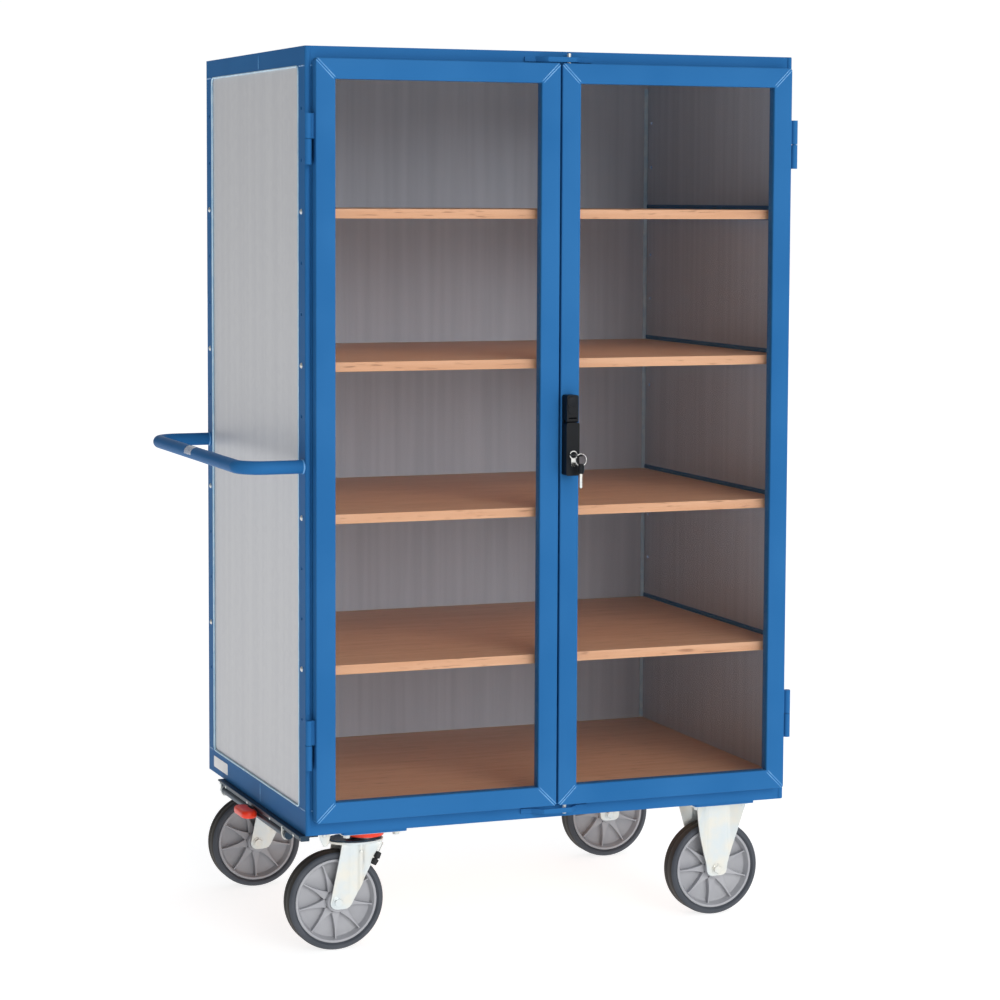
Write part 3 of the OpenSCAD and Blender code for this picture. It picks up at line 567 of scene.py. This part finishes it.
for corner in corners:
    wheel_centre(corner)
print("ribs on each side of a wheel:", ribs)

# %% [markdown]
# ## Door frames
# A door is four square tubes cut at 45 degrees and welded. Bent tube has round edges, and these
# catch a line of light all round the door. A ring is built from rounded rectangles: each point
# of the tube's section becomes one rectangle, drawn in by its distance from the outside.

# %% Mitred frames
def ring_frame(bm, low, high, width, corner_r, edge_r, steps=4):
    """Rectangular tube ring in the XZ plane, with rounded edges and outer corners."""
    deep = high.y - low.y
    section = []
    for cx, cy, start in ((edge_r, edge_r, 180), (width - edge_r, edge_r, 270),
                          (width - edge_r, deep - edge_r, 0), (edge_r, deep - edge_r, 90)):
        for i in range(steps + 1):
            a = radians(start + 90 * i / steps)
            section.append((cx + edge_r * cos(a), cy + edge_r * sin(a)))
    centre = (low + high) / 2
    loops = []
    for inset, depth in section:
        outline = rounded(high.x - low.x - 2 * inset, high.z - low.z - 2 * inset,
                          max(corner_r - inset, 0.0006))
        loops.append([bm.verts.new((centre.x + u, low.y + depth, centre.z + v)) for u, v in outline])
    bands(bm, loops, closed=True)


door_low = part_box("door_frame_left")[0]
front_corners = [v.co.x - door_low.x for v in nodes["door_frame_left"].data.vertices
                 if v.co.y < door_low.y + 0.0005]
frame_width = min(x for x in front_corners if x > 0.02)
for side in ends:
    bm = bmesh.new()
    ring_frame(bm, *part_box("door_frame_" + side), frame_width, 0.006, 0.0022)
    finished("door_tubes_" + side, bm, "blue_paint", "door_" + side, ["door_frame_" + side], smooth=50)
print("door tube width", round(frame_width, 4))

# %% [markdown]
# ## Weld beads
# A weld is a row of small overlapping waves. Ground and painted over, it stays as a low, slightly
# uneven ridge. A bead is a bar swept along the seam and sunk in the steel, so that only its top
# shows; its radius follows a wave to leave the ripple.

# %% Beads along the seams
def bead(bm, start, end, radius, ripple=0.12, pitch=0.004, sides=8):
    """Rippled bar from start to end."""
    start, end = Vector(start), Vector(end)
    along = (end - start).normalized()
    side = along.orthogonal().normalized()
    other = along.cross(side)
    count = max(4, int((end - start).length / pitch) * 2)
    rings = []
    for i in range(count + 1):
        t = i / count
        taper = min(1.0, 8 * t * (1 - t) + 0.35)
        r = radius * taper * (1 + ripple * (i % 2))
        turns = [2 * pi * k / sides for k in range(sides)]
        rings.append([bm.verts.new(start.lerp(end, t) + r * (side * cos(a) + other * sin(a))) for a in turns])
    bands(bm, rings)


sunk = 0.0007
for side in ends:
    bm = bmesh.new()
    low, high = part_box("door_frame_" + side)
    y = low.y + sunk
    for x, turn_x in ((low.x, 1), (high.x, -1)):
        for z, turn_z in ((low.z, 1), (high.z, -1)):
            outer = Vector((x + 0.002 * turn_x, y, z + 0.002 * turn_z))
            inner = Vector((x + turn_x * (frame_width - 0.001), y, z + turn_z * (frame_width - 0.001)))
            for shift in (-0.0016, 0.0016):
                bead(bm, outer + Vector((shift, 0, -shift * turn_x * turn_z)),
                     inner + Vector((shift, 0, -shift * turn_x * turn_z)), 0.0013)
    # The beads' pale blue is a painted highlight.
    finished("door_welds_" + side, bm, "paint_with_painted_highlight", "door_" + side, smooth=60)

bm = bmesh.new()
for side, sign in ends.items():
    for row in ("front", "rear"):
        low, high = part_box(f"post_{row}_{side}")
        x = low.x + sunk if sign < 0 else high.x - sunk
        for z in (low.z, high.z):
            bead(bm, (x, low.y + 0.003, z), (x, high.y - 0.003, z), 0.0016)
            if row == "front":
                bead(bm, (low.x + 0.003, low.y + sunk, z), (high.x - 0.003, low.y + sunk, z), 0.0016)
for node in ("bottom_frame", "top_frame"):
    low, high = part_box(node)
    for x in (low.x + sunk, high.x - sunk):
        bead(bm, (x, 0, low.z + 0.004), (x, 0, high.z - 0.004), 0.0015)
# The beads' pale blue is a painted highlight.
finished("body_welds", bm, "paint_with_painted_highlight", "frame", smooth=60)

# %% Rounded edge lines of the body
# The long outer edges are bent, so each one shows a thin line of light.
bm = bmesh.new()
round_r = 0.006
for side, sign in ends.items():
    low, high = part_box("post_front_" + side)
    x = low.x if sign < 0 else high.x
    ends_z = [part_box("bottom_frame")[0].z + 0.002, low.z, high.z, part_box("top_frame")[1].z - 0.002]
    line = [(x - sign * round_r, low.y + 0.0032, z) for z in ends_z]
    swept(bm, line, round_r, sides=24)
finished("body_edges", bm, "blue_paint", "frame", smooth=60)

# A thin ring round each side opening, coloured with a painted highlight along the opening's edge.
bm = bmesh.new()
for side, sign in ends.items():
    low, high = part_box("post_front_" + side)
    x = (low.x if sign < 0 else high.x) - sign * 0.0006
    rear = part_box("post_rear_" + side)[0].y
    outline = rounded(rear - high.y, high.z - low.z, 0.012, 6)
    swept(bm, [(x, (rear + high.y) / 2 + u, (high.z + low.z) / 2 + v) for u, v in outline], 0.0021,
          sides=12, closed=True)
finished("opening_edges", bm, "painted_edge_highlight", "frame", smooth=60)

# %% Welds of the push handle
bm = bmesh.new()
low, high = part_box("push_handle")
tube_r = (high.z - low.z) / 2
for y in (low.y + tube_r, high.y - tube_r):
    ring_r = tube_r - 0.0008
    ring = [(high.x - 0.001, y + ring_r * cos(a), (low.z + high.z) / 2 + ring_r * sin(a))
            for a in (2 * pi * i / 40 for i in range(40))]
    swept(bm, ring, 0.0022, closed=True)
# The beads' pale blue is a painted highlight.
finished("handle_welds", bm, "paint_with_painted_highlight", "frame", smooth=60)

# %% [markdown]
# ## Blank labels
# Two small white labels are stuck on the trolley: one low on the left side, one across the
# handle. They stay blank. A label is a thin plate with round corners, bent round the tube
# where it has to be.

# %% Labels
bm = bmesh.new()
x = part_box("bottom_frame")[0].x
y0, y1 = middle("post_rear_left").y - 0.130, middle("post_rear_left").y - 0.021
prism(bm, rounded(y1 - y0, 0.024, 0.003), (x - 0.0004, (y0 + y1) / 2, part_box("bottom_frame")[0].z + 0.025),
      (0, 1, 0), (0, 0, 1), (0.0006, 0, 0))
finished("side_label", bm, "label_white", "frame")

bm = bmesh.new()
bar_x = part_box("push_handle")[0].x + tube_r
bar_z = middle("push_handle").z
label_y = middle("push_handle").y + 0.02
label_half = 0.026
sunk_lift = -0.0005
rows = []
for i in range(13):
    a = radians(95 + 8 * i)
    rows.append([bm.verts.new((bar_x + (tube_r + lift) * cos(a), label_y + w,
                               bar_z + (tube_r + lift) * sin(a)))
                 for w, lift in ((-label_half, sunk_lift), (-label_half, 0.0), (label_half, 0.0),
                                 (label_half, sunk_lift))])
bands(bm, rows)
finished("handle_label", bm, "label_white", "frame")

# %% [markdown]
# ## Loose parts of a node
# Some nodes hold many equal small solids, such as screws. Their places are found by walking
# from corner to corner through the mesh, which gives one box for each solid.

# %% Islands
def islands(node, keep=None):
    """Boxes of the separate solids of a node, or with keep, a bmesh of the solids it is true for."""
    bm = bmesh.new()
    bm.from_mesh(nodes[node].data)
    bmesh.ops.remove_doubles(bm, verts=bm.verts, dist=0.00001)
    left = set(bm.verts)
    boxes, unwanted = [], []
    while left:
        todo = [left.pop()]
        found, members = [], []
        while todo:
            vert = todo.pop()
            found.append(vert.co.copy())
            members.append(vert)
            for edge in vert.link_edges:
                other = edge.other_vert(vert)
                if other in left:
                    left.remove(other)
                    todo.append(other)
        boxes.append((Vector(map(min, zip(*found))), Vector(map(max, zip(*found)))))
        if keep and not keep(*boxes[-1]):
            unwanted += members
    if keep:
        bmesh.ops.delete(bm, geom=unwanted, context="VERTS")
        return bm
    bm.free()
    return sorted(boxes, key=lambda b: tuple(round(c, 4) for c in b[0]))


def dome_profile(radius, height, flat=0.25, steps=6):
    """Pan head: a short wall, then a quarter of an ellipse."""
    points = [(tip, -0.0002), (radius, -0.0002), (radius, height * 0.3)]
    for i in range(1, steps + 1):
        a = pi / 2 * i / steps
        points.append((flat * radius + (1 - flat) * radius * cos(a), height * (0.3 + 0.7 * sin(a))))
    return points


# %% Screws of the shelves
bm = bmesh.new()
screw_boxes = islands("shelf_screws")
for low, high in screw_boxes:
    out = -1 if low.x < 0 else 1
    seat = high.x if out < 0 else low.x
    radius = (high.z - low.z) / 2
    turned(bm, dome_profile(radius, abs(high.x - low.x)), (seat, (low.y + high.y) / 2, (low.z + high.z) / 2),
           (out, 0, 0), 28)
finished("screw_heads", bm, "zinc_plate", "frame", ["shelf_screws"], smooth=40)
print(len(screw_boxes), "shelf screws")

# %% [markdown]
# ## Castor forks
# A fork leg is sheet steel, pressed so that it doesn't bend: a raised rib runs down it, and its
# foot is rounded round the axle. Such a sheet is a height over a flat outline, so the leg is
# drawn row by row from foot to crown, each row reaching from its left edge to its right edge,
# and every point is lifted by the height of the pressing.

# %% A leg as a height over an outline
def between(points, z):
    """Value at z on a line of (value, z) points."""
    for (v0, z0), (v1, z1) in zip(points, points[1:]):
        if z <= z1:
            return v0 + (v1 - v0) * (z - z0) / (z1 - z0)
    return points[-1][0]


def smooth_step(low, high, x):
    t = min(1.0, max(0.0, (x - low) / (high - low)))
    return t * t * (3 - 2 * t)


def pressed_leg(bm, at, out, left, right, lift, thick, columns=44):
    """Sheet in the XZ plane through at: out is the side of +lift, -1 or 1 along Y."""
    zs = sorted({z for _, z in left} | {z for _, z in right}
                | {left[0][1] + (left[-1][1] - left[0][1]) * i / 30 for i in range(31)})
    sheets = []
    for inward in (0, thick):
        rows = []
        for z in zs:
            x0, x1 = between(left, z), between(right, z)
            across = [x0 + (x1 - x0) * k / columns for k in range(columns + 1)]
            rows.append([bm.verts.new(at + Vector((x, out * (lift(x, z) - inward), z))) for x in across])
        sheets.append(rows)
        for a, b in zip(rows, rows[1:]):
            for k in range(columns):
                bm.faces.new((a[k], a[k + 1], b[k + 1], b[k]))
    front, back = sheets
    border = [r[0] for r in front] + front[-1][1:] + [r[-1] for r in front[-2::-1]] + front[0][-2:0:-1]
    inner = [r[0] for r in back] + back[-1][1:] + [r[-1] for r in back[-2::-1]] + back[0][-2:0:-1]
    for i in range(len(border)):
        j = (i + 1) % len(border)
        bm.faces.new((border[i], border[j], inner[j], inner[i]))


mm = 0.001
swivel_left = [(-1 * mm, -14 * mm), (-7 * mm, -13.2 * mm), (-12 * mm, -10.5 * mm), (-15.5 * mm, -6 * mm),
               (-16.5 * mm, 0), (9 * mm, 121 * mm)]
swivel_right = [(10 * mm, -14 * mm), (18 * mm, -13.2 * mm), (23.5 * mm, -10.5 * mm), (28 * mm, -5 * mm),
                (92 * mm, 116 * mm), (92 * mm, 121 * mm)]


def swivel_lift(x, z):
    rib = smooth_step(0.0395, 0.0455, x) * (1 - 1.55 * smooth_step(0.0495, 0.056, x))
    crease = smooth_step(0.021, 0.025, x) * (1 - smooth_step(0.027, 0.031, x))
    top = smooth_step(0.113, 0.121, z)
    return 0.0028 * rib - 0.0006 * crease * smooth_step(0.01, 0.03, z) - 0.003 * top * top


# %% Chamfered nuts and heads
def hex_head(bm, at, axis, radius, height):
    """Hexagon with its corners turned off, on a washer."""
    turn = Vector((0, 0, 1)).rotation_difference(Vector(axis)).to_matrix()
    at = Vector(at)
    washer = [(tip, 0), (radius * 1.22, 0), (radius * 1.25, 0.0003), (radius * 1.25, 0.0011),
              (radius * 1.2, 0.0014)]
    turned(bm, washer, at, axis, 36)
    layers = [(1.0, 0.0012), (1.0, height * 0.78), (0.87, height)]
    rings = [[bm.verts.new(at + turn @ Vector((u, v, level))) for u, v in hexagon(radius * grow, pi / 6)]
             for grow, level in layers]
    bands(bm, rings)


leg_face = 0.034
leg_thick = 0.0035


def axle_bolt(bm, axle):
    """Bolt through both legs and the sleeve that keeps them apart."""
    bolt_r, sleeve_r, sleeve_half = 0.006, 0.0095, 0.0302
    bar = [(tip, -leg_face), (bolt_r, -leg_face), (bolt_r, leg_face), (tip, leg_face)]
    turned(bm, bar, axle, (0, 1, 0), 24)
    sleeve = [(bolt_r, -sleeve_half), (sleeve_r, -sleeve_half), (sleeve_r, sleeve_half),
              (bolt_r, sleeve_half)]
    turned(bm, sleeve, axle, (0, 1, 0), 32, closed=True)


# %% Swivel forks
crown_long, crown_wide, crown_behind, crown_thick = 0.0585, 0.0435, 0.0205, 0.0042
for row in ("front", "rear"):
    axle = joint_at[f"wheel_{row}_left_spin"]
    pin = joint_at[f"castor_{row}_swivel"]
    bm = bmesh.new()
    for out in (-1, 1):
        pressed_leg(bm, axle + Vector((0, out * leg_face, 0)), out, swivel_left, swivel_right,
                    swivel_lift, leg_thick)
        hex_head(bm, axle + Vector((0, out * leg_face, 0)), (0, out, 0), 0.0098, 0.0045)
        turned(bm, dome_profile(0.0042, 0.0024), axle + Vector((0.0475, out * (leg_face + 0.0022), 0.101)),
               (0, out, 0), 24)
    axle_bolt(bm, axle)
    crown = Vector((pin.x, pin.y, axle.z + 0.1165))
    oval = [(crown_long * cos(2 * pi * i / 72) - crown_behind, crown_wide * sin(2 * pi * i / 72))
            for i in range(72)]
    prism(bm, oval, crown, (1, 0, 0), (0, 1, 0), (0, 0, crown_thick))
    race = [(0.0095, 0.004), (0.027, 0.0042), (0.0255, 0.0068), (0.0095, 0.0068)]
    turned(bm, race, crown, (0, 0, 1), 64, closed=True)
    saddle = [(-0.0565, 0.0), (0.026, 0.0), (0.026, crown_thick), (-0.0565, crown_thick)]
    prism(bm, saddle, crown + Vector((0, leg_thick - leg_face, 0)), (1, 0, 0), (0, 0, 1),
          (0, 2 * (leg_face - leg_thick), 0))
    finished("fork_sheet_" + row, bm, "zinc_plate", "castor_" + row, ["fork_" + row], edge=0.0005, smooth=40)

    bm = bmesh.new()
    teeth = []
    for i in range(144):
        a = 2 * pi * i / 144
        grow = 1 + 0.03 * (i % 6 < 3)
        teeth.append(((crown_long - 0.0045) * grow * cos(a) - crown_behind,
                      (crown_wide - 0.005) * grow * sin(a)))
    prism(bm, teeth, crown + Vector((0, 0, 0.0046)), (1, 0, 0), (0, 1, 0), (0, 0, 0.0024))
    finished("brake_rosette_" + row, bm, "dark_zinc", "castor_" + row, smooth=30)

    bm = bmesh.new()
    along = Vector((0.5, 0, 1)).normalized()
    foot = axle + Vector((0.0735, -leg_face + 0.002, 0.072))
    stopper = [(tip, 0), (0.0052, 0), (0.0062, 0.0012), (0.0074, 0.0105), (0.0068, 0.0117), (0.0042, 0.0124),
               (0.0042, 0.0146), (0.0068, 0.0152), (0.0072, 0.0164), (0.0062, 0.0262), (0.0052, 0.0274),
               (tip, 0.0274)]
    turned(bm, stopper, foot, along, 32)
    finished("stopper_" + row, bm, "rubber_seal", "castor_" + row, smooth=35)
    bm = bmesh.new()
    pin_bar = [(tip, 0), (0.0014, 0), (0.0014, 0.0405), (0.0022, 0.041), (0.0022, 0.0438), (0.0016, 0.045),
               (tip, 0.045)]
    turned(bm, pin_bar, foot + 0.003 * along, along, 16)
    finished("stopper_pin_" + row, bm, "zinc_plate", "castor_" + row, smooth=35)
    print("swivel fork", row, "trails its pin by", round((pin.x - axle.x) * 1000, 1), "mm")

# %% [markdown]
# The fixed castors have a stiffer leg: a flat middle, and flanks that flare out towards the
# mounting plate, as in a folded paper cup.

# %% Fixed brackets
half_outline = [(-10, -14), (-16, -12.6), (-20.5, -9), (-22.5, -4), (-24.5, 12), (-43.5, 80), (-55, 136),
                (-55, 141)]
fixed_left = [(x * mm, z * mm) for x, z in half_outline]
fixed_right = [(-x, z) for x, z in fixed_left]
flat_half = 0.0245
plate_thick = 0.0045


def fixed_lift(x, z):
    reach = abs(between(fixed_left, z))
    flare = 0.0205 * max(0.0, min(1.0, (z - 0.004) / 0.132)) ** 1.15
    if reach <= flat_half:
        return 0.0
    t = max(0.0, (abs(x) - flat_half) / (0.057 - flat_half))
    bend = 0.0012 * (1 - smooth_step(0.0, 0.10, t)) * smooth_step(flat_half - 0.004, flat_half, abs(x))
    return flare * t + bend


bracket_boxes = islands("fixed_brackets")
bm = bmesh.new()
for row in ("front", "rear"):
    axle = joint_at[f"wheel_{row}_right_spin"]
    for out in (-1, 1):
        pressed_leg(bm, axle + Vector((0, out * leg_face, 0)), out, fixed_left, fixed_right, fixed_lift,
                    leg_thick)
    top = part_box("fixed_brackets")[1].z
    prism(bm, rounded(0.1298, 0.1095, 0.008), (axle.x, axle.y, top - plate_thick), (1, 0, 0), (0, 1, 0),
          (0, 0, plate_thick))
finished("fixed_sheets", bm, "zinc_plate", "frame", ["fixed_brackets"], edge=0.0005, smooth=40)

bm = bmesh.new()
for row in ("front", "rear"):
    axle = joint_at[f"wheel_{row}_right_spin"]
    for out in (-1, 1):
        hex_head(bm, axle + Vector((0, out * leg_face, 0)), (0, out, 0), 0.0095, 0.0068)
    axle_bolt(bm, axle)
finished("fixed_bolts", bm, "zinc_plate", "frame", ["fixed_axles"], edge=0.0003, smooth=35)
print("fixed brackets:", len(bracket_boxes), "solids stood for")

# %% Mounting bolts
bm = bmesh.new()
bolt_boxes = islands("castor_bolts")
for low, high in bolt_boxes:
    centre = (low + high) / 2
    seat = high.z - 0.0058
    hex_head(bm, (centre.x, centre.y, seat), (0, 0, -1), (high.x - low.x) / 2 * 0.9, seat - low.z)
finished("mounting_bolts", bm, "zinc_plate", "frame", ["castor_bolts"], edge=0.0003, smooth=35)
print(len(bolt_boxes), "mounting bolts")

# %% [markdown]
# ## Foot brake
# A dark channel under the left rail covers the brake shaft. A bright ear holds the shaft at
# each end, and a red pedal is clamped to its middle.

# %% Channel, ears and rivets
shaft_x, _, shaft_z = joint_at["brake_press"]
low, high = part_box("brake_cover")
bm = bmesh.new()
web = 0.009
channel = [(low.x, low.z), (low.x, high.z), (high.x, high.z), (high.x, low.z), (shaft_x + web, low.z),
           (shaft_x + web, low.z - 0.0075), (shaft_x - web, low.z - 0.0075), (shaft_x - web, low.z)]
prism(bm, channel, (0, low.y, 0), (1, 0, 0), (0, 0, 1), (0, high.y - low.y, 0))
finished("brake_channel", bm, "dark_zinc", "frame", ["brake_cover"], edge=0.0009, smooth=40)

bm = bmesh.new()
ear = [(-12, 18), (17.5, 18), (16, 4), (12, -7), (7, -11), (2, -12), (-6, -11), (-10, -6), (-12, 2)]
ear = [(x * mm, z * mm) for x, z in ear]
for low, high in islands("brake_brackets"):
    prism(bm, ear, (shaft_x, low.y, shaft_z), (1, 0, 0), (0, 0, 1), (0, high.y - low.y, 0))
    turned(bm, dome_profile(0.0045, 0.0022), (shaft_x + 0.0115, low.y, shaft_z + 0.011), (0, -1, 0), 24)
finished("brake_ears", bm, "zinc_plate", "frame", ["brake_brackets"], edge=0.0009, smooth=40)

bm = bmesh.new()
cover_low, cover_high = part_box("brake_cover")
for i in range(4):
    y = cover_low.y + 0.05 + i * (cover_high.y - cover_low.y - 0.1) / 3
    turned(bm, dome_profile(0.0035, 0.0016), (shaft_x - web, y, cover_low.z - 0.0038), (-1, 0, 0), 20)
finished("channel_rivets", bm, "zinc_plate", "frame", smooth=40)

# %% Pedal
def stacked(bm, centre, width, height, radius, layers):
    """Pad from rounded rectangles one above the other; layers are (inset, level)."""
    rings = [[bm.verts.new(Vector(centre) + Vector((u, v, level)))
              for u, v in rounded(width - 2 * inset, height - 2 * inset, max(radius - inset, 0.001), 8)]
             for inset, level in layers]
    bands(bm, rings)


low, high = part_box("brake_pedal")
low, high = low + Vector((0.007, 0.004, 0.0065)), high + Vector((0, -0.004, 0.0065))
centre = ((low.x + high.x) / 2, (low.y + high.y) / 2, low.z)
thick = high.z - low.z
bm = bmesh.new()
stacked(bm, centre, high.x - low.x, high.y - low.y, 0.016,
        [(0.004, 0), (0.0015, 0.0008), (0.0003, 0.003), (0, thick * 0.5), (0.0006, thick * 0.72),
         (0.0025, thick * 0.88), (0.006, thick * 0.96), (0.011, thick)])
finished("pedal_pad", bm, "red_plastic", "brake", ["brake_pedal"], smooth=60)
# The slot in the pedal is a thin black plate: painted shade in the slot.
bm = bmesh.new()
prism(bm, rounded(0.0045, 0.034, 0.002), (high.x - 0.006, (low.y + high.y) / 2, high.z - 0.0012),
      (1, 0, 0), (0, 1, 0), (0, 0, 0.0009))
finished("pedal_slot_painted_shade", bm, "rubber_seal", "brake", smooth=40)
bm = bmesh.new()
hook = [(-27, 34), (0, 34), (-2, 16), (-5, 4), (-9, 0), (-15, 0), (-19, 7), (-23, 17)]
hook = [(x * mm, z * mm) for x, z in hook]
for row, out in (("front", -1), ("rear", 1)):
    pin = joint_at[f"castor_{row}_swivel"]
    at = Vector((pin.x - 0.082, pin.y + out * leg_face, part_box("castor_mounts")[1].z - 0.034))
    prism(bm, hook, at, (1, 0, 0), (0, 0, 1), (0, 0.003, 0))
    turned(bm, dome_profile(0.0042, 0.002), at + Vector((-0.0135, 0, 0.022)), (0, -1, 0), 24)
finished("brake_hooks", bm, "zinc_plate", "frame", edge=0.0008, smooth=40)

# %% [markdown]
# ## Lock and keys
# A round cover closes the screw of the swing handle, with a crescent cut beside it for a
# fingernail. The key ring is a bent wire, and a spare key hangs from it with its black head up.

# %% Round cover of the handle
low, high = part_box("lock_hub")
cover_at = ((low.x + high.x) / 2, low.y + 0.0008, high.z - 0.0135)
bm = bmesh.new()
cover = [(tip, 0), (0.0104, 0), (0.0107, 0.0008), (0.0101, 0.0014), (0.0088, 0.0016), (tip, 0.0018)]
turned(bm, cover, cover_at, (0, -1, 0), 56)
finished("lock_cover", bm, "black_plastic", "lock_hub", smooth=30)
# The crescent cut beside the cover is a thin black bar: painted shade in the cut.
bm = bmesh.new()
arc = [Vector((cover_at[0] + 0.0112 * cos(a), low.y, cover_at[2] + 0.0112 * sin(a)))
       for a in (radians(120 + 12 * i) for i in range(13))]
swept(bm, arc, 0.0007, sides=8)
finished("cover_gap_painted_shade", bm, "rubber_seal", "lock_hub", smooth=40)

# %% Key ring and spare key
ring_boxes = islands("key_ring")
lowest = min(low.z for low, high in ring_boxes)
finished("ring_wire", islands("key_ring", lambda low, high: low.z > lowest + 0.001), "chrome", "key_ring",
         ["key_ring"], smooth=50)
finished("spare_head", islands("key_ring", lambda low, high: low.z < lowest + 0.001), "black_plastic",
         "key_ring", smooth=40)
spare = [v.co for v in nodes["key_ring"].data.vertices if v.co.z < lowest + 0.004]
low = Vector((min(c.x for c in spare), min(c.y for c in spare), lowest))
high = Vector((max(c.x for c in spare), max(c.y for c in spare), lowest))
skin = 0.0002
blade_h = 0.029
blade_w = high.x - low.x + 2 * skin
teeth = [(-blade_w / 2, blade_h), (-blade_w / 2, 0.002), (0, -skin), (blade_w / 2, 0.002)]
for k in range(6):
    z = 0.004 + 0.0032 * k
    teeth += [(blade_w / 2, z), (blade_w * (0.30 + 0.08 * (k % 2)), z + 0.0014), (blade_w / 2, z + 0.0026)]
teeth.append((blade_w / 2, blade_h))
bm = bmesh.new()
prism(bm, teeth, ((low.x + high.x) / 2, low.y - skin, lowest), (1, 0, 0), (0, 0, 1),
      (0, high.y - low.y + 2 * skin, 0))
finished("spare_blade", bm, "zinc_plate", "key_ring", smooth=40)
print(len(ring_boxes), "solids on the key ring")

# %% [markdown]
# ## Folded corner inside
# The right panel ends at the back in a narrow fold that stands forward. It is drawn as one long strip with round
# edges, whose near-white colour is a painted highlight of the light it catches.

# %% Corner fold
post_low, post_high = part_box("post_rear_right")
fold_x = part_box("panel_right")[0].x + 0.0055
fold_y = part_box("panel_back")[0].y - 0.0022
bm = bmesh.new()
prism(bm, rounded(0.009, 0.0034, 0.0012), (fold_x, fold_y, post_low.z + 0.003), (1, 0, 0), (0, 1, 0),
      (0, 0, post_high.z - post_low.z - 0.006))
finished("corner_fold", bm, "painted_edge_highlight", "frame", smooth=50)

# %% Camera
eye = Vector((-2.1088, -5.6116, 1.508))
yaw, pitch, roll = radians(21.23), radians(4.86), radians(0.26)
camera_data = bpy.data.cameras.new("camera")
camera_data.lens = 102.4
camera_data.shift_y = -0.06
camera = bpy.data.objects.new("camera", camera_data)
camera.matrix_world = (Matrix.Translation(eye) @ Matrix.Rotation(-yaw, 4, "Z")
                       @ Matrix.Rotation(pi / 2 - pitch, 4, "X") @ Matrix.Rotation(roll, 4, "Z"))
scene.collection.objects.link(camera)
scene.camera = camera
print("camera at", eye, "with a lens of", camera_data.lens)

# %% [markdown]
# ## Floor and light
# The studio is white all round. A pale floor lies under the wheels, and a dome that only the camera sees closes
# the view behind it. The light itself is soft: a sky that grows dimmer towards -X, and one wide sun from the front
# that makes the doors brighter than the left side and reaches the back panel.

# %% Floor and dome
floor_mesh = bpy.data.meshes.new("floor")
floor_mesh.from_pydata([(-40, -40, 0), (40, -40, 0), (40, 40, 0), (-40, 40, 0)], [], [(0, 1, 2, 3)])
floor = bpy.data.objects.new("floor", floor_mesh)
scene.collection.objects.link(floor)
pale = Finish("pale_floor")
pale.set({"Base Color": rgb("B4B4B4"), "Roughness": 0.75 + 0.1 * pale.noise(2, 2),
          "Specular IOR Level": 0.1, "Emission Color": rgb("FFFFFF"), "Emission Strength": 0.8})
floor.data.materials.append(pale.material)

dome_mesh = bpy.data.meshes.new("dome")
bm = bmesh.new()
bmesh.ops.create_icosphere(bm, subdivisions=4, radius=39)
bm.to_mesh(dome_mesh)
bm.free()
dome = bpy.data.objects.new("dome", dome_mesh)
scene.collection.objects.link(dome)
white = Finish("white_dome")
white.set({"Base Color": rgb("000000"), "Specular IOR Level": 0.0,
           "Emission Color": rgb("FFFFFF"), "Emission Strength": 1.02})
dome.data.materials.append(white.material)
dome.visible_diffuse = dome.visible_glossy = dome.visible_transmission = dome.visible_shadow = False

# %% Sky and sun
world = bpy.data.worlds.new("studio")
world.use_nodes = True
sky = world.node_tree.nodes
toward = sky.new("ShaderNodeTexCoord")
parts = sky.new("ShaderNodeSeparateXYZ")
level = sky.new("ShaderNodeMapRange")
level.inputs["From Min"].default_value = -0.6
level.inputs["From Max"].default_value = 0.5
level.inputs["To Min"].default_value = 0.12
level.inputs["To Max"].default_value = 0.75
world.node_tree.links.new(toward.outputs["Generated"], parts.inputs[0])
world.node_tree.links.new(parts.outputs["X"], level.inputs["Value"])
world.node_tree.links.new(level.outputs[0], sky["Background"].inputs["Strength"])
sky["Background"].inputs["Color"].default_value = (1, 1, 1, 1)
scene.world = world

sun_data = bpy.data.lights.new("sun", "SUN")
sun_data.energy = 1.42
sun_data.angle = radians(38)
sun = bpy.data.objects.new("sun", sun_data)
sun.rotation_euler = Vector((-0.1, 0.92, -0.36)).to_track_quat("-Z", "Y").to_euler()
scene.collection.objects.link(sun)
scene.view_settings.view_transform = "Standard"
